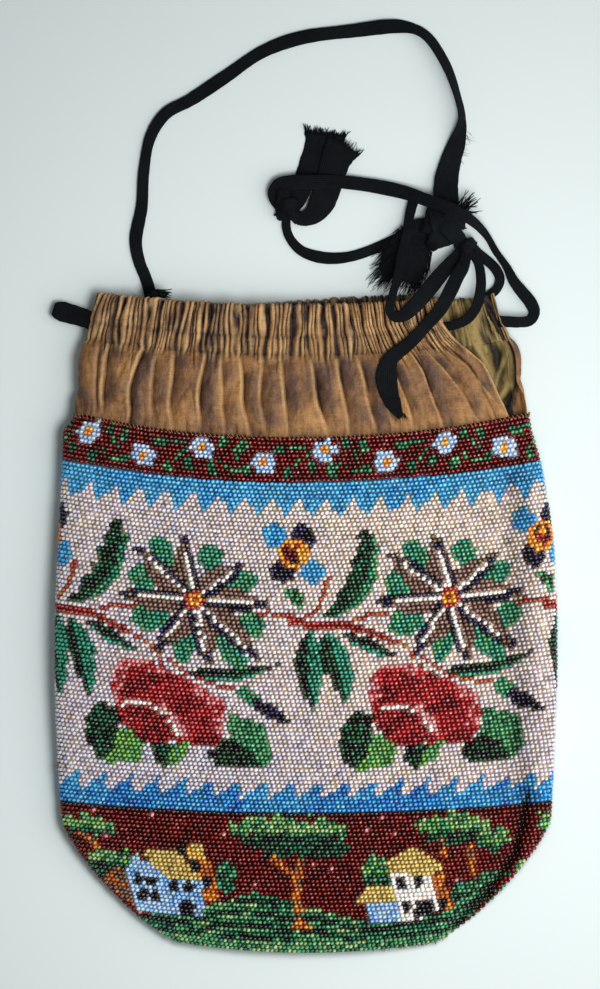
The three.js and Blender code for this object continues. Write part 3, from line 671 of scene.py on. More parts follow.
def paintBands(chart):
    size = bands
    long, short = size["bluePaces"]
    mix = np.sin(chart.across * long) * np.sin(chart.across * short + size["blueStart"])
    mix = 0.5 + size["blueWave"] * mix + draw.normal(0, size["blueSpread"], len(chart.down))
    phase = (chart.across - size["upperTooth"]) / size["tooth"] % 1
    rise = size["toothRise"]
    drop = np.where(phase < rise, phase / rise, (1 - phase) / (1 - rise))
    border = chart.down < size["border"]
    upper = ~border & (chart.down < size["upperTip"] - size["upperTeeth"] * drop)
    phase = (chart.across - size["lowerTooth"]) / size["tooth"] % 1
    lower = chart.down > size["lowerTip"] + size["lowerTeeth"] * (1 - phase)
    lower &= chart.down <= size["village"]
    chart.paint(upper, "sky")
    chart.paint(upper & (mix > size["upperBlue"]), "blue", "sky")
    chart.paint(lower, "blue", "sky")
    chart.paint(lower & (mix > size["lowerBlue"]), "deepBlue", "blue")

    chart.paint(border, "maroon", "wine", "maroon")
    sprig = borderSprig
    period = sprig["repeat"]
    home = np.array([sprig["start"], 0])
    for stem in sprig["stems"]:
        found = chart.string([np.array(point) + home for point in stem], period)
        chart.paint(found & border, "forest", "darkGreen", "green")
    for middle, oval in sprig["leaves"]:
        found = chart.oval(np.array(middle) + home, oval, 0, period)
        chart.paint(found & border, "green", "forest", "forest", "darkGreen")
    for middle in (sprig["high"], sprig["low"]):
        x = chart.near(middle[0] + home[0], period) - middle[0] - home[0]
        y = chart.down - middle[1]
        reach = np.hypot(x, y)
        turn = sprig["petals"] * np.arctan2(y, x) + sprig["petalTurn"]
        lobes = sprig["petal"] + sprig["lobe"] * np.cos(turn)
        chart.paint((reach < lobes) & border, "frost", "frost", "iceBlue")
        chart.paint(reach < sprig["eye"], "orange", "amber")


def paintedChart(stitch, row):
    chart = Chart(stitch, row)
    wave, pace, start = bands["fieldWave"]
    field = draw.normal(0, 1, len(row)) + wave * np.sin(stitch * pace + start)
    field = field - bands["fieldFall"] * (row - bands["fieldRow"])
    chart.paint(field > bands["cream"], "cream")
    chart.paint(field < bands["lilac"], "lilac")
    paintFlower(chart)
    paintBands(chart)
    paintVillage(chart)
    return chart


# A bead's shape, with a crown, a shoulder and a rim, its roughness and shine, and the painted highlight and
# glint on its crown and painted shade at its rim
beadLook = {
    "sides": 6, "shoulder": (0.6, 0.8), "rim": (1, 0.05), "foot": -0.8, "rough": 0.18, "shine": 0.5,
    "tone": 0.97, "toneSpread": 0.16, "hueSpread": 0.03, "least": 0.002, "most": 0.95,
    "crownHighlight": 1.8, "crownMost": 0.97, "shoulderHighlight": 1.15, "rimShade": 0.9,
    "glint": 0.4, "glintShape": (1.3, 0.77), "glintBase": 0.28, "glintBright": 0.56, "glintHue": 0.45,
    "cell": 0.3, "cellLift": 0.08,
}


def beadRows():  # every bead's place and lie
    size = knitting
    full = size["stitches"]
    downs = (np.arange(size["rows"]) + 0.5) * pouchHeight / size["rows"]
    grid, rounds = pouchGrid(downs, size["finer"] * full)
    normals = gridNormals(grid)
    pitch = np.interp(pouch["straightHeight"], downs, rounds) / full  # kept where the corners narrow
    edge, back = full / 4, full / 2
    stretched = edge * size["frontStretch"]
    rows = []
    for row, down in enumerate(downs):
        straight = down <= pouch["straightHeight"]
        count = full if straight else int(round(rounds[row] / pitch))
        share = ((np.arange(count) + row * size["slip"] + draw.normal(0, size["wander"], count)) / count) % 1
        spot = share * grid.shape[1]
        low = np.floor(spot).astype(int) % grid.shape[1]
        high = (low + 1) % grid.shape[1]
        mix = (spot - np.floor(spot))[:, None]
        place = lerp(grid[row][low], grid[row][high], mix)
        normal = lerp(normals[row][low], normals[row][high], mix)
        tangent = grid[row][high] - grid[row][low]
        turned = np.where(share > 0.5, share - 1, share)
        stitch = turned * (full if straight else rounds[row] / pitch)
        stitch = np.interp(stitch, [-back, -edge, edge, back], [-back, -stretched, stretched, back])
        place = place + np.array([0, 1, 0]) * draw.normal(0, size["wander"], count)[:, None]
        rows.append((place, normal, tangent, stitch, np.full(count, float(row)), share))
    return [np.concatenate(parts) for parts in zip(*rows)]


# The lower right corner has a crease where the back's edge has come forward, and a hollow runs down the right
# side; both are sunk, and dark and darkPower set the painted shade on the beads there
crease = {
    "line": [(73.8, -57), (72.6, -64), (70.0, -75.7), (65.0, -84), (60.4, -90.0), (54.6, -96.2),
             (48.6, -102)],
    "deep": 4.2, "wide": 1.9, "dark": 0.92, "darkPower": 1.5, "past": 0.6, "pastRow": 109.5,
    "fromZ": (1, 3), "lowest": 0.8,
    "hollow": [(72, -57), (71, -30), (70.5, 0), (70, 25), (69, 48)], "hollowDeep": 2.4, "hollowWide": 5.0,
}
beadPieces = {
    "border_beads": (0, 11, None), "upper_blue_beads": (11, 19, None), "flower_beads_front": (19, 83, True),
    "flower_beads_back": (19, 83, False), "lower_blue_beads": (83, 92, None),
    "village_beads": (92, 126, None),
}


def creaseDepth(place):  # only on the side that shows
    sharp = crease["deep"] * bell(lineDistance(place[..., :2], crease["line"]), crease["wide"])
    soft = crease["hollowDeep"] * bell(lineDistance(place[..., :2], crease["hollow"]), crease["hollowWide"])
    return np.maximum(sharp, soft) * smooth(place[..., 2], *crease["fromZ"])


def creasedGrid(grid, share=1.0):
    lowered = grid[..., 2] - share * creaseDepth(grid)
    grid[..., 2] = np.minimum(grid[..., 2], np.maximum(lowered, crease["lowest"]))


def beadShape():  # the bead's corners and faces
    sides = beadLook["sides"]
    turns = np.arange(sides) * 2 * math.pi / sides

    def ring(radius, height, turn):
        return np.column_stack([radius * np.cos(turn), radius * np.sin(turn), np.full(sides, height)])

    upper = ring(*beadLook["shoulder"], turns)
    lower = ring(*beadLook["rim"], turns + math.pi / sides)
    corners = np.vstack([[0, 0, 1], upper, lower, [0, 0, beadLook["foot"]]])
    faces = []
    for i in range(sides):
        a, b = 1 + i, 1 + (i + 1) % sides
        c, d = a + sides, b + sides
        faces += [(0, a, b), (a, c, b), (b, c, d), (1 + 2 * sides, d, c)]
    return corners, np.array(faces)


def beadMaterial():
    shader = Shader("glass beads")
    return shader.done(beadLook, shader.attribute("beadColourAndHighlight"))


def makeBeads():
    size = knitting
    place, normal, tangent, stitch, row, share = beadRows()
    count = len(row)
    chart = paintedChart(stitch, row)
    line = np.array(crease["line"])[::-1]
    past = place[:, 0] > np.interp(place[:, 1], line[:, 1], line[:, 0]) + crease["past"]
    past &= (normal[:, 2] > 0) & (place[:, 1] > line[0, 1]) & (row > crease["pastRow"])
    chart.paint(past, "maroon", "wine", "maroon", "rose", "forest")
    creased = creaseDepth(place)
    place = place - normal * (size["sunk"] + draw.normal(0, size["wander"], count))[:, None]
    place[:, 2] -= creased
    tangent = tangent - normal * np.sum(tangent * normal, axis=1, keepdims=True)
    tangent /= np.linalg.norm(tangent, axis=1, keepdims=True)
    other = np.cross(normal, tangent)
    slant = (size["slant"] + draw.normal(0, size["slantSpread"], count))[:, None]
    isWhite = chart.names == beadNames.index("white")
    grow = np.where(isWhite, size["bigWhite"], 1) * draw.normal(1, size["growSpread"], count)
    axes = ((tangent * np.cos(slant) + other * np.sin(slant)) * (size["long"] * grow)[:, None],
            (other * np.cos(slant) - tangent * np.sin(slant)) * (size["short"] * grow)[:, None],
            normal * (size["tall"] * grow)[:, None])
    reach = np.sqrt(sum(axis[:, 2] ** 2 for axis in axes))
    place[:, 2] = np.maximum(place[:, 2], reach)  # the back's beads rest on the table

    look = beadLook
    tone = look["tone"] * draw.normal(1, look["toneSpread"], count)[:, None]
    tone = tone * draw.normal(1, look["hueSpread"], (count, 3))
    # painted shade on the beads in the crease and the hollow, which dims their glint too
    lit = (1 - crease["dark"] * (creased / crease["deep"]) ** crease["darkPower"])[:, None]
    table = np.array([linear(beadColours[name]) for name in beadNames])
    colours = np.clip(table[chart.names] * (tone * lit), look["least"], look["most"])
    shape = beadShape()
    glass = beadMaterial()
    front = (share < 0.25) | (share >= 0.75)
    for name, (first, last, side) in beadPieces.items():
        chosen = (row >= first) & (row < last)
        if side is not None:
            chosen &= front == side
        turned = [axis[chosen] for axis in axes]
        beadPiece(name, place[chosen], turned, colours[chosen], lit[chosen], shape, glass)
    print("beads", count)
    return place, colours


def beadPiece(name, place, axes, colours, lit, shape, glass):
    look = beadLook
    corners, faces = shape
    count = len(place)
    points = place[:, None, :]
    for axis, part in zip(axes, corners.T):
        points = points + part[None, :, None] * axis[:, None, :]
    shifted = faces[None, :, :] + (np.arange(count) * len(corners))[:, None, None]
    piece = meshPiece(name, points.reshape(-1, 3), shifted.reshape(-1, 3), glass, "beads")

    brightest = colours.max(axis=1, keepdims=True)
    # painted glint: a highlight of random strength, tinted by the bead's colour
    glint = look["glint"] * draw.gamma(*look["glintShape"], (count, 1))
    glint = glint * (look["glintBase"] + look["glintBright"] * brightest)
    glint = lit * glint * (1 - look["glintHue"] + look["glintHue"] * colours / brightest)
    rim = 1 + look["sides"]
    colourWithLight = np.ones((count, len(corners), 4))
    colourWithLight[:, 0, :3] = np.clip(colours * look["crownHighlight"] + glint, 0, look["crownMost"])  # painted highlight: the crown is lightened and the painted glint added
    # the shoulder is lightened a little, part of the painted highlight
    colourWithLight[:, 1:rim, :3] = np.clip(colours * look["shoulderHighlight"], 0, look["most"])[:, None, :]
    # painted shade towards the rim
    colourWithLight[:, rim:, :3] = (colours * look["rimShade"])[:, None, :]
    pointLayer(piece, "beadColourAndHighlight", "FLOAT_COLOR", "color", colourWithLight)

    cells = math.ceil(math.sqrt(count))  # one small cell of the colour map for each bead
    spread = corners[:, :2] * (look["cell"] + look["cellLift"] * corners[:, 2:3])
    cell = np.column_stack([np.arange(count) % cells, np.arange(count) // cells]) + 0.5
    flat = ((cell[:, None, :] + spread[None, :, :]) / cells).reshape(-1, 2)
    uv = piece.data.uv_layers.new(name="OFBake")
    uv.data.foreach_set("uv", flat[shifted.reshape(-1)].reshape(-1).astype(np.float32))


# Knitted thread that the beads sit on; it carries painted light and shade: between the beads, the nearest
# bead's colour darkened and lighter under pale beads, and a darkened inside face
thread = {
    "outside": 1.0, "inside": 2.0, "rows": 126, "round": 224, "footGap": 0.4, "innerEach": 4,
    "innerCrease": 1.5, "colour": "#6d5540", "warm": "#ffe2c4", "bare": 0.1,
    "gapShade": 0.34, "gapLightBase": 0.15, "gapLightByBead": 3.0,
    "fleck": (260, 3), "fuzz": (900, 2), "bump": (0.4, 0.0002), "rough": 0.85, "shine": 0.0,
}


def makeGround(places, colours):
    shader = Shader("knitting thread")
    bare = shader.noise(*thread["fleck"]) * thread["bare"]
    colour = shader.blend(bare, shader.attribute("beadLightAndGapShade"), rgba(thread["colour"]))
    material = shader.done(thread, colour, shader.bump(shader.noise(*thread["fuzz"]), *thread["bump"]))
    each = thread["innerEach"]
    downs = np.linspace(0, pouchHeight - thread["footGap"], thread["rows"])
    outer = pouchGrid(downs, thread["round"], thread["outside"])[0]
    inner = pouchGrid(downs[:-each:each], thread["round"], thread["inside"])[0]
    creasedGrid(outer)
    creasedGrid(inner, thread["innerCrease"])
    piece = bagPiece("knitted_ground", outer, inner, material, "beads")

    tree = KDTree(len(places))
    for spot, place in enumerate(places):
        tree.insert(place, spot)
    tree.balance()
    nearest = [tree.find(point)[1] for point in outer[::-1].reshape(-1, 3)]
    near = colours[nearest].reshape(outer.shape)
    bright = thread["gapLightBase"] + thread["gapLightByBead"] * near.max(axis=2, keepdims=True)
    tints = np.ones((len(outer) + len(inner), thread["round"], 4))
    # painted shade on the inside face
    tints[:, :, :3] = linear(thread["colour"]) * thread["gapShade"]
    # painted light and shade between the beads: the nearest bead's colour, darkened, lighter under pale beads
    tints[:len(outer), :, :3] = near * bright * thread["gapShade"] * linear(thread["warm"])
    pointLayer(piece, "beadLightAndGapShade", "FLOAT_COLOR", "color", tints)
    return piece


# Gathered cloth top: one strip from the front's free edge round the left side and the back
clothTop = {
    "cut": (0.44, 0.062), "tall": 40, "topHalf": 66.5, "depth": 11, "round": 3.5, "leastRound": 0.8,
    "seat": 8, "inset": 2.6, "topSag": 4, "thick": 0.4, "lowest": 0.25,
    "columns": 900, "casing": (25.0, 30.4),
    "freeEdge": [(-3, 68.2), (0, 67.4), (4.3, 65.4), (10.3, 62.2), (18.3, 57.2), (22, 53.8), (27, 49),
                 (32.9, 44.8), (40, 43.2)],
    "fan": 30, "curl": 3.0, "curlUp": (3, 12),
    "panelLevels": (-3, 24, 24), "casingLevels": (24.7, 37, 17), "brimLevels": (37.9, 38.7, 39.4, 39.9),
    "turned": [(40.3, 0.4), (40.4, 0.9), (40.1, 1.5), (39.0, 2.0), (36.4, 2.3), (32, 2.4), (28, 2.4),
               (25.2, 2.3), (24.4, 2.0)],
    "behind": ((0.44, 0.5), (0.88, 0.94)), "backRise": 2.6, "riseAcross": (-25, 20), "riseUp": (26, 39),
    "bulge": 2.2, "bulgeUp": 20, "bulgeTall": 8, "bulgeAcross": (45, 66),
    "leftTuck": 2.4, "tuckUp": (4, 24), "tuckAcross": (40, 74),
    "apart": ((0, 0.012), (0.74, 0.79)), "close": 1.5, "closeFrom": 2,
    "hem": 4.2, "hemWide": 0.45, "hemDeep": 0.8, "hemEdge": 0.5, "doubled": 0.3, "hemUp": (0, 4),
    "lift": 0.75, "liftFacing": (-0.6, 0.3), "liftUp": (-1, 4), "sinkUp": (-2.5, 0.5),
    "stitchWide": 0.6, "stitchDeep": 0.4, "scallop": 0.8, "scallopMost": 1.5, "scallopUp": (36.5, 39.5),
}


def clothLoop(up, inset):
    size = clothTop
    seat = float(smooth(up, 0, size["seat"]))
    share = up / size["tall"]
    half = lerp(float(pouchHalf(0)) - size["inset"], size["topHalf"], share) - inset
    depth = lerp(float(pouchDepth(0)) - 2 * size["inset"], size["depth"], seat) - 2 * inset
    base = lerp(size["inset"], 0, seat) + inset
    rounding = max(lerp(pouch["round"], size["round"], seat) - inset, size["leastRound"])
    return crownedLoop(half, depth, base, rounding), half, lerp(pouch["mouthSag"], size["topSag"], share)


def alongFront(x, loop, length):  # how far along its loop a place on the front lies
    steps = pouch["loopSteps"]
    return np.interp(x - pouch["topLean"], loop[steps::-1, 0], length[steps::-1])


def clothSpan(loop, up):  # where the strip starts and ends along its loop
    length = along(loop)
    start = alongFront(atShares(up, clothTop["freeEdge"]), loop, length)
    return length, start, length[-1] + clothTop["curl"] * float(smooth(up, *clothTop["curlUp"]))


def clothPlace(share, start, end):  # columns keep their places, but draw together by the free edge
    free = start + clothTop["fan"]
    straight = share * end
    return np.where(straight < free, start + clothTop["fan"] * straight / free, straight)


# Pleats of the casing, long folds below it, and the creases, puckers and wrinkles of worn cloth
clothFold = {
    "pleats": [(168, 1.15, 1.2, (0.7, 0.9, 1.2, 1.6, 2.5, 6)), (60, 0.5, 0.9, (1, 3))],
    "sway": 0.0014, "swayWaves": [(1, 0.16, 53), (0.5, 0.5, 171)], "jogTall": 0.7,
    "jogs": [(0.0011, 1, 190), (0.0005, 2, 430)], "evenness": 10, "rim": 0.01,
    "peakLean": 0.25, "peakTurn": 2.4, "depths": (0.65, 1.2), "depthWaves": [(0.25, 0.7, 2.1)],
    "opening": 0.04, "crestHighlight": 0.4, "crestPower": 3, "crestWaves": [(0.35, 0.45, 1.3)],
    "markedAt": 13, "foldBelow": (-1, 4), "foldUp": (0.5, 9), "foldLeast": 0.3,
    "foldWaves": [(0.3, 0.31, 90)],
    "folds": [(-68, 1.0, 1.1, 0.1), (-58, 1.35, 1.1, 0.18), (-51, 0.6, 0.9, 0.05), (-44.5, 1.1, 1.2, 0.0),
              (-34.8, 1.3, 1.0, 0.07), (-27.6, 0.75, 1.0, -0.05), (-20.6, 1.25, 1.1, -0.12),
              (-14.5, 0.7, 0.9, 0.0), (-7, 1.1, 1.0, -0.05), (4, 1.4, 1.4, -0.18), (12.5, 1.25, 1.2, -0.1),
              (20.4, 1.2, 1.2, -0.17), (26.5, 0.7, 1.0, -0.1), (32, 1.15, 1.2, -0.15), (41, 1.25, 1.0, -0.05),
              (49.5, 1.0, 1.2, -0.3), (57, 0.8, 1.0, -0.4)],
    "backFolds": (0.47, 0.88, 0.026), "backFold": ((0.6, 1.2), (1.2, 2.2), (-0.15, 0.15)), "backShift": 0.008,
    "steady": 0.72, "uneven": 0.28, "beat": (0.2, 0.45), "beatStart": (0, 6), "knife": (0.3, 1.6),
    "roll": 0.35, "rollOff": 1.1, "rollWide": 0.7, "shadeOff": 2.4, "shadeWide": 2.2, "ridgeOff": 0.9,
    "ridgeWide": 0.45, "puff": 1.2, "puffPower": 0.8, "puffUp": ((1, 7), (19, 25)),
    "insideFolds": [(4.5, 1.6, 1.5, 0.1), (10, 2.6, 2.2, 0.22), (16, 2.2, 1.6, -0.15), (21, 2.8, 2.3, 0.3),
                    (28, 2.2, 1.8, 0.12), (34, 1.8, 1.6, 0), (7.4, 1.2, 0.8, -0.3), (13, 1.3, 0.8, 0.35),
                    (18.4, 1.2, 0.7, -0.25), (25, 1.3, 0.9, -0.3)],
    "insideAt": 12, "insideUp": (0, 8), "insideWaves": [(0.8, 0.3, 1)],
    "creases": 420, "crease": ((0, 1), (1, 26), (-0.8, 0.8), (1.5, 6), (-0.35, 0.5)), "creaseWide": 0.4,
    "puckers": (0.004, 1, 0.0125), "pucker": ((0.1, 0.55), (2, 6), (-0.004, 0.004)), "puckerWide": 0.7,
    "wrinkles": 140, "wrinkle": ((0, 1), (3, 22), (-1.6, 1.6), (3, 8), (0.1, 0.45), (0.4, 1.3)),
}


def drawn(spans):  # one even draw from each span
    return [draw.uniform(*span) for span in spans]


def clothPleats(share, ups):  # the casing's pleats: how far they sink, and the painted highlight on their crests
    size = clothFold
    low, high = clothTop["casing"]
    level = ups[:, None]
    below = np.clip(low - level, 0, None)
    above = np.clip(level - high, 0, None)
    spots = share + size["sway"] * waves(level, share, size["swayWaves"])
    for line in (low, high):  # pleats shift sideways where the casing is stitched
        jog = waves(line, share, size["jogs"])
        spots = spots + jog * smooth(level, line - size["jogTall"], line + size["jogTall"])
    sunk, crestHighlight = 0, 0
    for count, deep, power, reaches in size["pleats"]:
        gaps = draw.gamma(size["evenness"], 1, count + 1)
        valleys = np.concatenate([[-size["rim"]], np.cumsum(gaps)[:-1] / gaps.sum(), [1 + size["rim"]]])
        index = np.clip(np.searchsorted(valleys, spots) - 1, 0, count)
        u = (spots - valleys[index]) / (valleys[index + 1] - valleys[index])
        peak = 0.5 + size["peakLean"] * np.cos(index * size["peakTurn"])  # ridges lean to either side
        u = np.where(u < peak, 0.5 * u / peak, 0.5 + 0.5 * (u - peak) / (1 - peak))
        depths = deep * draw.uniform(*size["depths"], count + 2)
        reach = draw.choice(reaches, count + 2)
        before, after = (depths[k] * (1 + waves(level, k, size["depthWaves"])) for k in (index, index + 1))
        depth = lerp(before, after, u)
        fade = bell(below, lerp(reach[index], reach[index + 1], u)) * (1 + size["opening"] * above)
        ridge = np.sin(math.pi * np.clip(u, 0, 1)) ** power
        sunk = sunk + fade * depth * (1 - ridge)
        # painted highlight on the crest, stronger on some pleats than others
        pale = size["crestHighlight"] + waves(level, index, size["crestWaves"])
        crestHighlight = crestHighlight + fade * ridge ** size["crestPower"] * pale
    return sunk, crestHighlight


def foldList(share):  # each long fold's share of the strip, depth, width and lean
    size = clothFold
    loop = clothLoop(size["markedAt"], 0)[0]
    length, start, end = clothSpan(loop, size["markedAt"])
    places = clothPlace(share, start, end)
    folds = []
    for x, *form in size["folds"]:
        folds.append((np.interp(alongFront(x, loop, length), places, share), *form))
    for place in np.arange(*size["backFolds"]):  # the back panel's own folds
        form = drawn(size["backFold"])
        folds.append((place + draw.uniform(-size["backShift"], size["backShift"]), *form))
    return folds


def clothFolds(share, ups, spans):  # how far the cloth sinks, the painted shade on one side of each fold and the painted highlight on its ridges
    size = clothFold
    level = ups[:, None]
    below = np.clip(clothTop["casing"][0] - level, 0, None)
    fade = smooth(below, *size["foldBelow"])
    fade = fade * (size["foldLeast"] + (1 - size["foldLeast"]) * smooth(level, *size["foldUp"]))
    sunk, shade, ridge = np.zeros((3, len(ups), len(share)))
    lines = []
    narrow, broad = size["knife"]
    for place, deep, wide, lean in foldList(share):
        middle = place - (lean * (level - size["markedAt"]) + waves(level, place, size["foldWaves"])) / spans
        lines.append(middle[:, 0])
        pace, start = drawn((size["beat"], size["beatStart"]))
        deep = deep ** 2 * (size["steady"] + size["uneven"] * np.sin(level * pace + start))
        off = (middle - share) * spans  # to the right as the front is seen
        steep = np.where(off < 0, off / (narrow * wide), -off / (broad * wide))
        sunk += deep * fade * np.exp(steep)  # a knife edge on one side
        sunk -= size["roll"] * deep * fade * bell(off + size["rollOff"] * wide, size["rollWide"] * wide)
        # painted shade spread to the right of each fold
        shade += deep * fade * bell(off - size["shadeOff"], size["shadeWide"])
        # painted highlight along each fold's ridge
        ridge += np.sqrt(deep) * fade * bell(off + size["ridgeOff"], size["ridgeWide"])
    lines = np.sort(np.array(lines), axis=0)
    for row, up in enumerate(ups):  # the cloth stands out between its folds
        spot = np.interp(share, lines[:, row], np.arange(len(lines)))
        puff = np.abs(np.sin(math.pi * spot)) ** size["puffPower"]
        sunk[row] -= size["puff"] * puff * window(up, *size["puffUp"])
    for place, deep, wide, tilt in size["insideFolds"]:
        off = (share - 1) * spans + place - tilt * (level - size["insideAt"])
        off = off - waves(level, place, size["insideWaves"])
        sunk += deep * bell(off, wide) * smooth(level, *size["insideUp"])
    for k in range(size["creases"]):
        place, height, tilt, long, deep = drawn(size["crease"])
        off = (share - place) * spans - tilt * (level - height)
        sunk += deep * bell(level - height, long) * np.exp(-np.abs(off) / size["creaseWide"])
    for place in np.arange(*size["puckers"]):  # along the sewn edge
        deep, tall, shift = drawn(size["pucker"])
        off = (share - place - shift) * spans
        sunk += deep * np.exp(-np.clip(level, 0, None) / tall) * bell(off, size["puckerWide"])
    for k in range(size["wrinkles"]):  # soft and slanting, across the panels
        place, height, tilt, long, deep, wide = drawn(size["wrinkle"])
        off = ((share - place) * spans - tilt * (level - height)) / math.hypot(1, tilt)
        sunk += deep * bell(level - height, long) * bell(off, wide)
    return sunk, np.clip(shade, 0, 1), np.clip(ridge, 0, 1)


# Colours of the cloth, with painted shade in its folds, stitch lines and hem, and painted highlight on its
# crests and free edge
clothLook = {
    "light": "#b6844c", "highlightGold": "#dcb27c", "tan": "#6e4828", "valleyShadeAndSpeck": "#1f1312", "bloomAndShade": "#4c3833",
    "inside": "#ab945e", "insideMid": "#7a6638", "insideFoldShade": "#1d160d",
    "gatheredUp": (24, 27), "strands": (9, 620), "strandFrom": 22, "strandTall": 2.6, "strandEnd": 1.01,
    "strandDark": 0.7, "foldScale": (1.25, 0.85), "foldMost": (0.9, 1), "foldPower": (1, 1.6),
    "foldFree": 0.04, "stitchShade": 0.3, "hemShade": 0.8, "ridgeHighlight": 0.8, "edgeHighlight": 0.6,
    "inner": ((0.78, 0.86), (0.98, 0.984)), "innerDark": 1.5, "innerScale": 0.75,
    "patch": (70, 4, 0.6), "grain": (330, 4, 0.65), "blotch": (58, 4, 0.65), "spot": (150, 4, 0.6),
    "crumple": (240, 5, 0.6), "thread": (1, 2, 0.6), "weave": (1, 2, 0.5),
    "warp": (2100, 160, 160), "weft": (160, 2100, 160), "weaveScale": (1800, 1800, 1800),
    "worn": (0.58, 0.96), "wornGrain": 0.5, "grey": (0.6, 0.84), "greyMix": (0.7, 0.35, 0.2, 0.2),
    "bloomMost": 0.8, "goldLeast": 0.3, "speck": (0.9, 1.3), "speckMost": 0.3, "valleyLeast": 0.5,
    "weaveHigh": 0.2, "crumpleHigh": 1.6, "bump": (0.9, 0.0009), "rough": 0.55, "shine": 0.35,
}


def clothMaterial():
    size = clothLook
    shader = Shader("brown glazed cotton")
    place = shader.object()

    def noise(name, where=place):
        return shader.noise(*size[name], where)

    def toward(share, colour, name):  # a colour blended toward one of the cloth's own
        return shader.blend(share, colour, rgba(size[name]))

    foldShade, inner, crestHighlight, shade = (shader.attribute(name, 2) for name in ("foldShade", "inner", "crestHighlight", "shade"))
    patch, grain = noise("patch"), noise("grain")
    worn = shader.between(patch + size["wornGrain"] * grain, *size["worn"])
    # purple-grey blotches of the cloth, mixed with painted shade beside the folds
    parts = (noise("blotch"), noise("spot"), shade, grain)
    first, *others = (share * part for share, part in zip(size["greyMix"], parts))
    grey = shader.between(sum(others, first), *size["grey"])
    warp, weft = (noise("thread", shader.stretched(place, size[name])) for name in ("warp", "weft"))
    speck = shader.between(warp + weft, *size["speck"])
    outer = toward(worn, rgba(size["tan"]), "light")
    outer = toward(size["bloomMost"] * grey, outer, "bloomAndShade")
    # painted highlight on pleat crests, fold ridges and the free edge
    outer = toward(crestHighlight * lerp(size["goldLeast"], 1, grain), outer, "highlightGold")
    # dark specks of the weave
    outer = toward(size["speckMost"] * speck, outer, "valleyShadeAndSpeck")
    # painted shade in the folds' valleys
    outer = toward(foldShade * (size["valleyLeast"] + grain), outer, "valleyShadeAndSpeck")
    dull = toward(patch, rgba(size["inside"]), "insideMid")
    # painted shade in the folds of the inside
    dull = toward(foldShade, dull, "insideFoldShade")
    weave = noise("weave", shader.stretched(place, size["weaveScale"]))
    height = weave * size["weaveHigh"] + noise("crumple") * size["crumpleHigh"]
    return shader.done(size, shader.blend(inner, outer, dull), shader.bump(height, *size["bump"]))


def stripFaces(rows, columns):
    here = np.arange(rows - 1)[:, None] * columns + np.arange(columns - 1)[None, :]
    return np.stack([here, here + 1, here + 1 + columns, here + columns], axis=2).reshape(-1, 4)


def thickSheet(grid, thick):  # a grid of points given thickness, closed round its rim
    rows, columns = grid.shape[:2]
    normal = np.cross(np.gradient(grid, axis=1), np.gradient(grid, axis=0))
    normal /= np.maximum(np.linalg.norm(normal, axis=2, keepdims=True), tiny)
    count = rows * columns
    points = np.vstack([(grid + side * normal * thick / 2).reshape(-1, 3) for side in (1, -1)])
    faces = stripFaces(rows, columns)
    spots = np.arange(count).reshape(rows, columns)
    rim = np.concatenate([spots[0, :-1], spots[:-1, -1], spots[-1, :0:-1], spots[:0:-1, 0]])
    after = np.roll(rim, -1)
    edge = np.column_stack([after, rim, rim + count, after + count])
    return points, [*faces, *(faces[:, ::-1] + count), *edge]


def clothStrip(share, levels):  # where the strip lies before its pleats and folds
    size = clothTop
    behind = window(share, *size["behind"])
    rows, spans, fromEdge = [], [], []
    for up, inset in levels:
        loop, half, sag = clothLoop(up, inset)
        length, start, end = clothSpan(loop, up)
        place = clothPlace(share, start, end)
        spans.append(end)
        fromEdge.append(place - start)
        x, z = (np.interp(place % length[-1], length, part) for part in loop.T)
        y = seamY + up - sag * (1 - np.clip(x / half, -1, 1) ** 2)
        rise = size["backRise"] * behind * smooth(x, *size["riseAcross"])
        y = y + rise * float(smooth(up, *size["riseUp"]))  # the back shows over the front's edge
        bulge = size["bulge"] * bell(up - size["bulgeUp"], size["bulgeTall"])
        x = x + bulge * smooth(x, *size["bulgeAcross"])
        tuck = size["leftTuck"] * float(1 - smooth(up, *size["tuckUp"]))
        x = x + tuck * smooth(-x, *size["tuckAcross"])
        rows.append((x, y, z))
    return np.array(rows).transpose(1, 0, 2), np.array(spans)[:, None], np.array(fromEdge)


def turnIn(strip, ups, outer, apart):  # where it isn't apart, the turned layer follows the outer one
    for row in range(len(outer), len(ups)):
        up = min(ups[row], outer[-1])
        above = min(int(np.searchsorted(outer, up)), len(outer) - 1)
        mix = (up - outer[above - 1]) / (outer[above] - outer[above - 1])
        close = lerp(strip[:, above - 1], strip[:, above], mix) + np.array([[0], [ups[row] - up], [0]])
        strip[:, row] = lerp(close, strip[:, row], apart)


def fineLines(share, ups, gathered):  # thin uneven lines among the pleats
    rows, columns = clothLook["strands"]
    cells = draw.random((rows, columns))
    level = np.clip((ups - clothLook["strandFrom"]) / clothLook["strandTall"], 0,
                    rows - clothLook["strandEnd"])
    strands = np.array([np.interp(share, np.linspace(0, 1, columns), line) for line in cells])
    lower = level.astype(int)
    fine = lerp(strands[lower], strands[lower + 1], (level % 1)[:, None])
    return clothLook["strandDark"] * gathered * (fine - 0.5)


